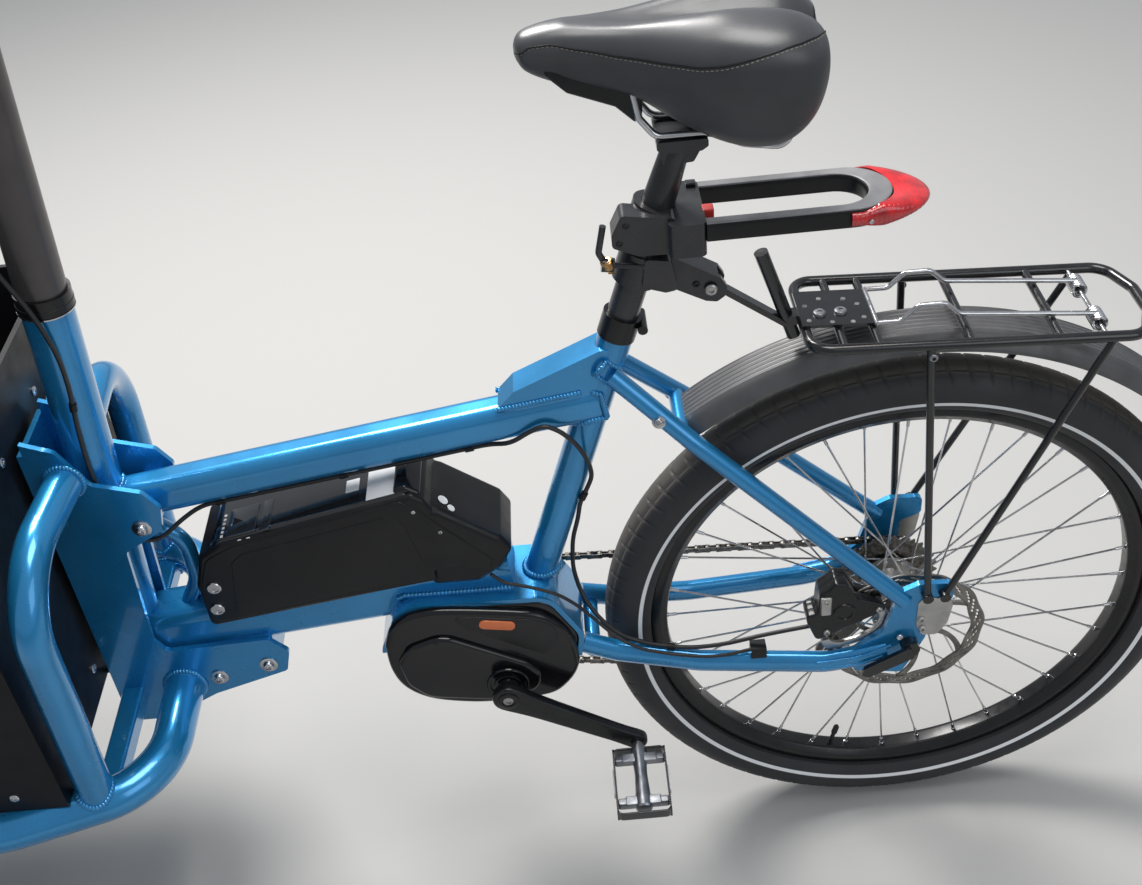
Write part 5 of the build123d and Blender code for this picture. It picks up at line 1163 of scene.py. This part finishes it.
class BICYCLE_OT_fasteners(Maker, bpy.types.Operator):
    """Screws of the bracket, box, caliper and stays, with their washers, and the parts at the dropouts."""

    bl_idname = "bicycle.fasteners"
    bl_label = "Screws"

    def make(self):
        steel = Shape()
        for side in (1, -1):
            out = (0, side, 0)
            for x, z in ((812, 582), (787, 348), (727, 361)):
                steel.lathe([(0, 0.01), (0, 10.5), (1.6, 10.3), (1.9, 9.6), (1.9, 0.01)],
                            (x, side * 40.2, z), out, 28)
                steel.bolt((x, side * 42.0, z), out, 6.6, 5.4)
            for x, z in ((965, 385), (1130, 385), (1280, 385), (1415, 385), (945, 740), (1180, 735),
                         (945, 560)):
                steel.bolt((x, side * 219.1, z), out, 5.2, 2.6)
            stay = np.array([0.30, side * 0.92, 0.25])
            place = (262, side * 32, 656) + stay * 9.2
            steel.lathe([(-1, 0.01), (-1, 7.4), (0.9, 7.2), (1.4, 6.4), (1.4, 0.01)], place, stay, 28)
            steel.bolt(place + stay * 1.2, stay, 4.8, 3.2)
        for y in (-150, -60, 60, 150):
            for z in (400, 700):
                steel.bolt((914.9, y, z), (-1, 0, 0), 5.2, 2.6)
        for x, z in ((60, 327), (12, 353)):
            steel.bolt((x, 80.4 - 0.07 * x, z), (0, 1, 0.2), 3.8, 2.4)
        steel.piece("screws", "polished steel")
        self.dropout_trim()
        self.caliper()

    def dropout_trim(self):
        """Steel inserts behind the axle, and two ridges along the stay's end."""
        inserts, ridges = Shape(), Shape()
        corners = [(-6, 400), (-12, 408), (-40, 405), (-45, 394), (-41, 366), (-30, 349), (-13, 350),
                   (-6, 366)]
        for side in (1, -1):
            inserts.plate(corners, [4, 4, 4, 8, 12, 6, 6, 4], *sorted((side * 75.2, side * 77.0)), edge=0.5)
            for x, z in ((-11, 376), (-13, 361)):
                inserts.bolt((x, side * 76.8, z), (0, side, 0), 4.4, 3.2)
            for line in ([(104, 79.6, 322), (56, 82.2, 329), (22, 83.0, 345)],
                         [(98, 79.9, 312), (54, 82.0, 317), (30, 82.6, 328)]):
                ridges.tube(bent_line(line * np.array([1, side, 1]), [40]), 1.5, 10)
        inserts.piece("dropout_inserts", "plated steel")
        ridges.piece("stay_ridges", "frame paint")

    def caliper(self):
        """Brake caliper astride the disc: two halves, a bridge outside the disc, a hose fitting and its
        adapter."""
        body, metal = Shape(), Shape()
        half = [(72, 436), (60, 412), (31, 400), (27, 391), (60, 374), (104, 351), (115, 380), (116, 391),
                (104, 394), (102, 422), (92, 429), (85, 438)]
        for low, high in ((45.4, 54.8), (59.4, 73.5)):
            body.plate(half, [5, 8, 6, 5, 30, 6, 5, 5, 6, 6, 6, 5], low, high, edge=2.4, turns=5, step=0.25)
        body.plate([(97, 357), (104, 352), *half[6:], (73, 435), (66, 416), (82, 396), (93, 374)],
                   [3, 5, 5, 5, 6, 6, 6, 5, 5, 6, 12, 8], 52, 62, edge=0.6)
        body.lathe([(73, 0.01), (73, 13.4), (74.6, 13), (75.4, 12), (75.4, 8.4), (74.4, 8), (74.4, 0.01)],
                   (74, 0, 393), steps=40)
        body.piece("caliper_body", "anodised black", "rear_caliper")
        metal.plate([(27, 386), (16, 363), (30, 350), (52, 338), (80, 328), (92, 330), (99, 343), (89, 345),
                     (80, 336), (58, 343), (39, 353), (31, 366), (34, 380)],
                    [4, 5, 12, 20, 12, 3, 4, 4, 10, 20, 12, 8, 4], 60.4, 66.5, edge=1.2, step=0.25)
        for x, z in ((93, 365), (36, 394)):
            metal.bolt((x, 73.3, z), (0, 1, 0), 3.8, 3.2)
        metal.grid(box_grid((95, 74.2, 407), (12, 5, 26), 1.4))
        metal.bolt((95, 76.6, 414), (0, 1, 0), 3.0, 1.6)
        metal.piece("caliper_fittings", "plated steel")


class BICYCLE_OT_guards(Maker, bpy.types.Operator):
    """Both mudguards: a ribbed section carried round the wheel."""

    bl_idname = "bicycle.guards"
    bl_label = "Mudguards"

    def guard(self, end, body, radius, half, start, stop, drop=16, wall=3.0):
        """Section (y, r): a crown with seven fine ribs and rolled edges, and the same line a wall's thickness
        inside."""
        y = np.linspace(-half, half, 121)
        crown = radius - drop * np.clip((np.abs(y) - half * 0.62) / (half * 0.38), 0, 1) ** 1.7
        ribs = sum(0.9 * np.exp(-((y - c) / 1.1) ** 2) for c in half * np.linspace(-0.6, 0.6, 7))
        roll = np.exp(-((np.abs(y) - half) / 1.2) ** 2)
        y, r = np.concatenate([y, y[::-1]]), np.concatenate([crown - 1.1 + ribs, (crown - wall - roll)[::-1]])
        turn = np.radians(np.linspace(start, stop, 90))[:, None]
        taper = np.clip(np.minimum(turn - turn[0], turn[-1] - turn) / 0.05, 0, 1) ** 0.5
        shell = around(AXLES[end], r, turn, y * (0.72 + 0.28 * taper))
        Shape().grid(shell).piece(end + "_guard", "guard plastic", end + "_mudguard", body, crease=50)

    def make(self):
        self.guard("rear", "frame", 388, 33, 50.5, 162)
        self.guard("front", "fork", 276, 31, 62, 205)
        crown = fork_at(540)
        line = [crown + (0, 0, -4), crown + (-6, 0, -12), (1782.0, 0, 521)]
        bracket = Shape().grid(carried(line, soft_box(22, 3.5, 6, 24), up=(0, 1, 0)))
        bracket.piece("front_guard_bracket", "black paint", body="fork")


def rack_top(x):
    """Height of the rack's sloping plate at X."""
    return 749.3 + (x - 84) * 0.056


class BICYCLE_OT_rack(Maker, bpy.types.Operator):
    """Sprung clamp of the rack: bent wires, coil springs on their rod and the deck plate's pads."""

    bl_idname = "bicycle.rack"
    bl_label = "Rack clamp"

    def make(self):
        wires, bosses, marks = Shape(), Shape(), Shape()
        rod_z = 743 + (725 - 743) * (-168 - 116) / (-205 - 116)
        t = np.linspace(0, 7 * tau, 7 * 22)
        for side in (1, -1):
            route = [(47.5, side * 30, 746.7), (24, side * 30, 746), (8, side * 30, 762),
                     (-18, side * 30, 762), (-32, side * 30, 748), (-168, side * 30, 733)]
            wires.tube(bent_line(route, [8, 10, 10, 12]), 2.5, 14)
            coil = around((-168, rod_z), 6.6, t, side * 30 - 11 + 22 * t / t[-1])
            wires.grid(carried(coil, ring(1.6, 8), up=(0, 1, 0)))
        for x, half, z, radius in ((-168, 56.2, rod_z, 2.5), (47.5, 32.4, 746.7, 2.4)):
            wires.tube([(x, -half, z), (x, half, z)], radius, 14)
        wires.piece("rack_wires", "polished steel", "rack_springs")
        over = (-0.056, 0, 1.0)
        for x, y in ((100, 11), (79, 9)):
            bosses.lathe([(0, 0.01), (0, 6.4), (2.2, 6.0), (3.2, 4.8), (3.2, 2.4), (2.0, 2.2), (2.0, 0.01)],
                         (x, y, rack_top(x) + 0.1), over, 28)
        for x, y in ((112, 22), (96, -16), (72, -14), (58, 20), (60, -4), (112, -4), (90, 26), (70, 27)):
            marks.lathe([(0, 0.01), (0, 2.6), (0.5, 2.4), (0.5, 0.01)], (x, y, rack_top(x)), over, 20)
        for side in (1, -1):
            bosses.bolt((-0.3, side * 64.5, 724.4), (0, side, 0), 4.6, 3.6)
        bosses.piece("rack_bosses", "cast alloy")
        marks.piece("rack_marks", "worn steel")


class BICYCLE_OT_handlebar(Maker, bpy.types.Operator):
    """Ribbed grips, clamp collars and the headset's rings."""

    bl_idname = "bicycle.handlebar"
    bl_label = "Handlebar trim"

    def make(self):
        grips, collars = Shape(), Shape()
        h = np.linspace(0, 104, 140)
        r = 15.2 + 0.7 * np.abs(np.sin(h / 104 * 22 * pi)) ** 0.6 + 1.3 * np.exp(-((h - 100) / 5) ** 2)
        r = r + 2.4 * np.exp(-((h - 2) / 2.6) ** 2)
        grip = [(0, 11.5), (0, 15.5), *zip(h[1:-1], r[1:-1]), (104, 14.6), (104, 0.01)]
        for side in (1, -1):
            inner, tip = np.array([842.0, side * 190, 1195]), np.array([800.0, side * 332, 1187])
            along = unit(tip - inner)
            grips.lathe(grip, tip - along * 100, along, 40)
            collars.lathe([(0, 11.4), (0, 16.4), (0.8, 17.1), (17.2, 17.1), (18, 16.4), (18, 11.4)],
                          inner + along * 18, along, 40, close_u=True)
        grips.piece("ribbed_grips", "grip rubber", "grips", "column")
        collars.piece("lever_collars", "anodised black", body="column")
        axis = unit(head_at(900) - head_at(800))
        for name, look, profile in (
                ("headset_ring", "anodised black",
                 [(-7.5, 25.1), (-7.5, 26.6), (-6.5, 27.4), (0.2, 27.4), (0.6, 26.4), (0.6, 25.1)]),
                ("headset_seal", "polished steel", [(-9.0, 25.1), (-9.0, 27.6), (-7.6, 27.6), (-7.6, 25.1)])):
            Shape().lathe(profile, head_at(845), axis, close_u=True).piece(name, look)


# Stage


class BICYCLE_OT_stage(Maker, bpy.types.Operator):
    """Plain floor, soft lights and the camera at the photographed angle."""

    bl_idname = "bicycle.stage"
    bl_label = "Stage"

    def make(self):
        scene = bpy.context.scene
        scene.view_settings.view_transform = "Standard"
        mesh = bpy.data.meshes.new("floor")
        mesh.from_pydata([(-30, -30, 0), (30, -30, 0), (30, 30, 0), (-30, 30, 0)], [], [(0, 1, 2, 3)])
        floor = bpy.data.objects.new("floor", mesh)
        scene.collection.objects.link(floor)
        look = bpy.data.materials.new("floor")
        look.use_nodes = True
        put(look.node_tree, look.node_tree.nodes["Principled BSDF"],
            {"Base Color": main_colour("floor"), "Roughness": 0.9})
        mesh.materials.append(look)
        world = bpy.data.worlds.new("studio")
        scene.world = world
        world.use_nodes = True
        put(world.node_tree, world.node_tree.nodes["Background"], {0: (0.84, 0.90, 0.98), 1: 0.42})
        self.lamp("key", (0.3, -1.7, 3.1), (-0.4, 0.0, 0.5), 1.3, 135, (1.0, 0.98, 0.95))
        self.lamp("top", (-0.9, 0.2, 3.4), (-0.4, 0.0, 0.4), 1.4, 40, (1.0, 0.98, 0.95))
        self.lamp("side", (-2.5, 2.3, 2.2), (-0.5, 0.0, 0.5), 1.8, 14, (0.92, 0.96, 1.0))
        camera = bpy.data.cameras.new("camera")
        camera.lens, camera.sensor_width, camera.clip_end = 43.53, 36, 100
        view = bpy.data.objects.new("camera", camera)
        scene.collection.objects.link(view)
        right, down, forward = CAMERA_AXES
        turn = Matrix((right, [-k for k in down], [-k for k in forward])).transposed().to_4x4()
        view.matrix_world = Matrix.Translation(Vector(CAMERA_PLACE) + Vector((AXLE_X, 0, 0))) @ turn
        scene.camera = view

    def lamp(self, name, place, target, size, power, colour):
        """Square lamp at a place, turned to a target."""
        data = bpy.data.lights.new(name, "AREA")
        data.size, data.energy, data.color = size, power, colour
        lamp = bpy.data.objects.new(name, data)
        bpy.context.scene.collection.objects.link(lamp)
        lamp.location = place
        lamp.rotation_euler = (Vector(target) - Vector(place)).to_track_quat("-Z", "Y").to_euler()


# The frame's own nodes

NODE_FINISHES = {
    "frame paint": "rear_frame clamp_bracket cargo_cradle",
    "black paint": "rear_axle derailleur rack front_fork stand",
    "worn steel": "front_axle",
    "anodised black": "rear_caliper front_caliper seat_collar headset front_headset handlebar brake_levers",
    "post black": "seatpost lamp_bracket",
    "mast grey": "steering_column",
    "panel black": "box_floor_panel box_rear_panel box_front_panel box_side_panels",
    "cable sheath": "steering_cables control_cables bar_hose",
    "moulded black": "cable_clips",
}


class BICYCLE_OT_finishes(Maker, bpy.types.Operator):
    """Finishes of the frame's tubes, bracket, fork, stand and the other pieces kept as they are."""

    bl_idname = "bicycle.finishes"
    bl_label = "Frame finishes"

    def make(self):
        for name, nodes in NODE_FINISHES.items():
            for node in nodes.split():
                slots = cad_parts[node].data.materials
                slots.clear()
                slots.append(finish(name))


class BICYCLE_PT_panel(bpy.types.Panel):
    """Lists the settings and the makers of the bicycle's pieces."""

    bl_idname = "BICYCLE_PT_panel"
    bl_label = "Cargo bicycle"
    bl_space_type = "VIEW_3D"
    bl_region_type = "UI"
    bl_category = "Cargo bicycle"

    def draw(self, context):
        """One row for each setting and one button for each maker."""
        for group in (context.scene.bicycle_sizes, context.scene.bicycle_colours):
            for key in group.__annotations__:
                self.layout.prop(group, key)
        for maker in MAKERS:
            self.layout.operator(maker.bl_idname)


MAKERS = (
    BICYCLE_OT_stage, BICYCLE_OT_finishes, BICYCLE_OT_tyres, BICYCLE_OT_wheels, BICYCLE_OT_chain,
    BICYCLE_OT_cranks, BICYCLE_OT_motor, BICYCLE_OT_battery, BICYCLE_OT_saddle, BICYCLE_OT_lamp,
    BICYCLE_OT_welds, BICYCLE_OT_fasteners, BICYCLE_OT_guards, BICYCLE_OT_rack, BICYCLE_OT_handlebar,
)
CLASSES = (BICYCLE_PG_sizes, BICYCLE_PG_colours, *MAKERS, BICYCLE_PT_panel)


def register():
    """Registers the classes and puts the settings on the scene."""
    for item in CLASSES:
        bpy.utils.register_class(item)
    bpy.types.Scene.bicycle_sizes = bpy.props.PointerProperty(type=BICYCLE_PG_sizes)
    bpy.types.Scene.bicycle_colours = bpy.props.PointerProperty(type=BICYCLE_PG_colours)


def unregister():
    """Takes the settings and the classes away again."""
    del bpy.types.Scene.bicycle_colours
    del bpy.types.Scene.bicycle_sizes
    for item in reversed(CLASSES):
        bpy.utils.unregister_class(item)


def main():
    register()
    for maker in MAKERS:
        group, name = maker.bl_idname.split(".")
        getattr(getattr(bpy.ops, group), name)()


if __name__ == "__main__":
    main()
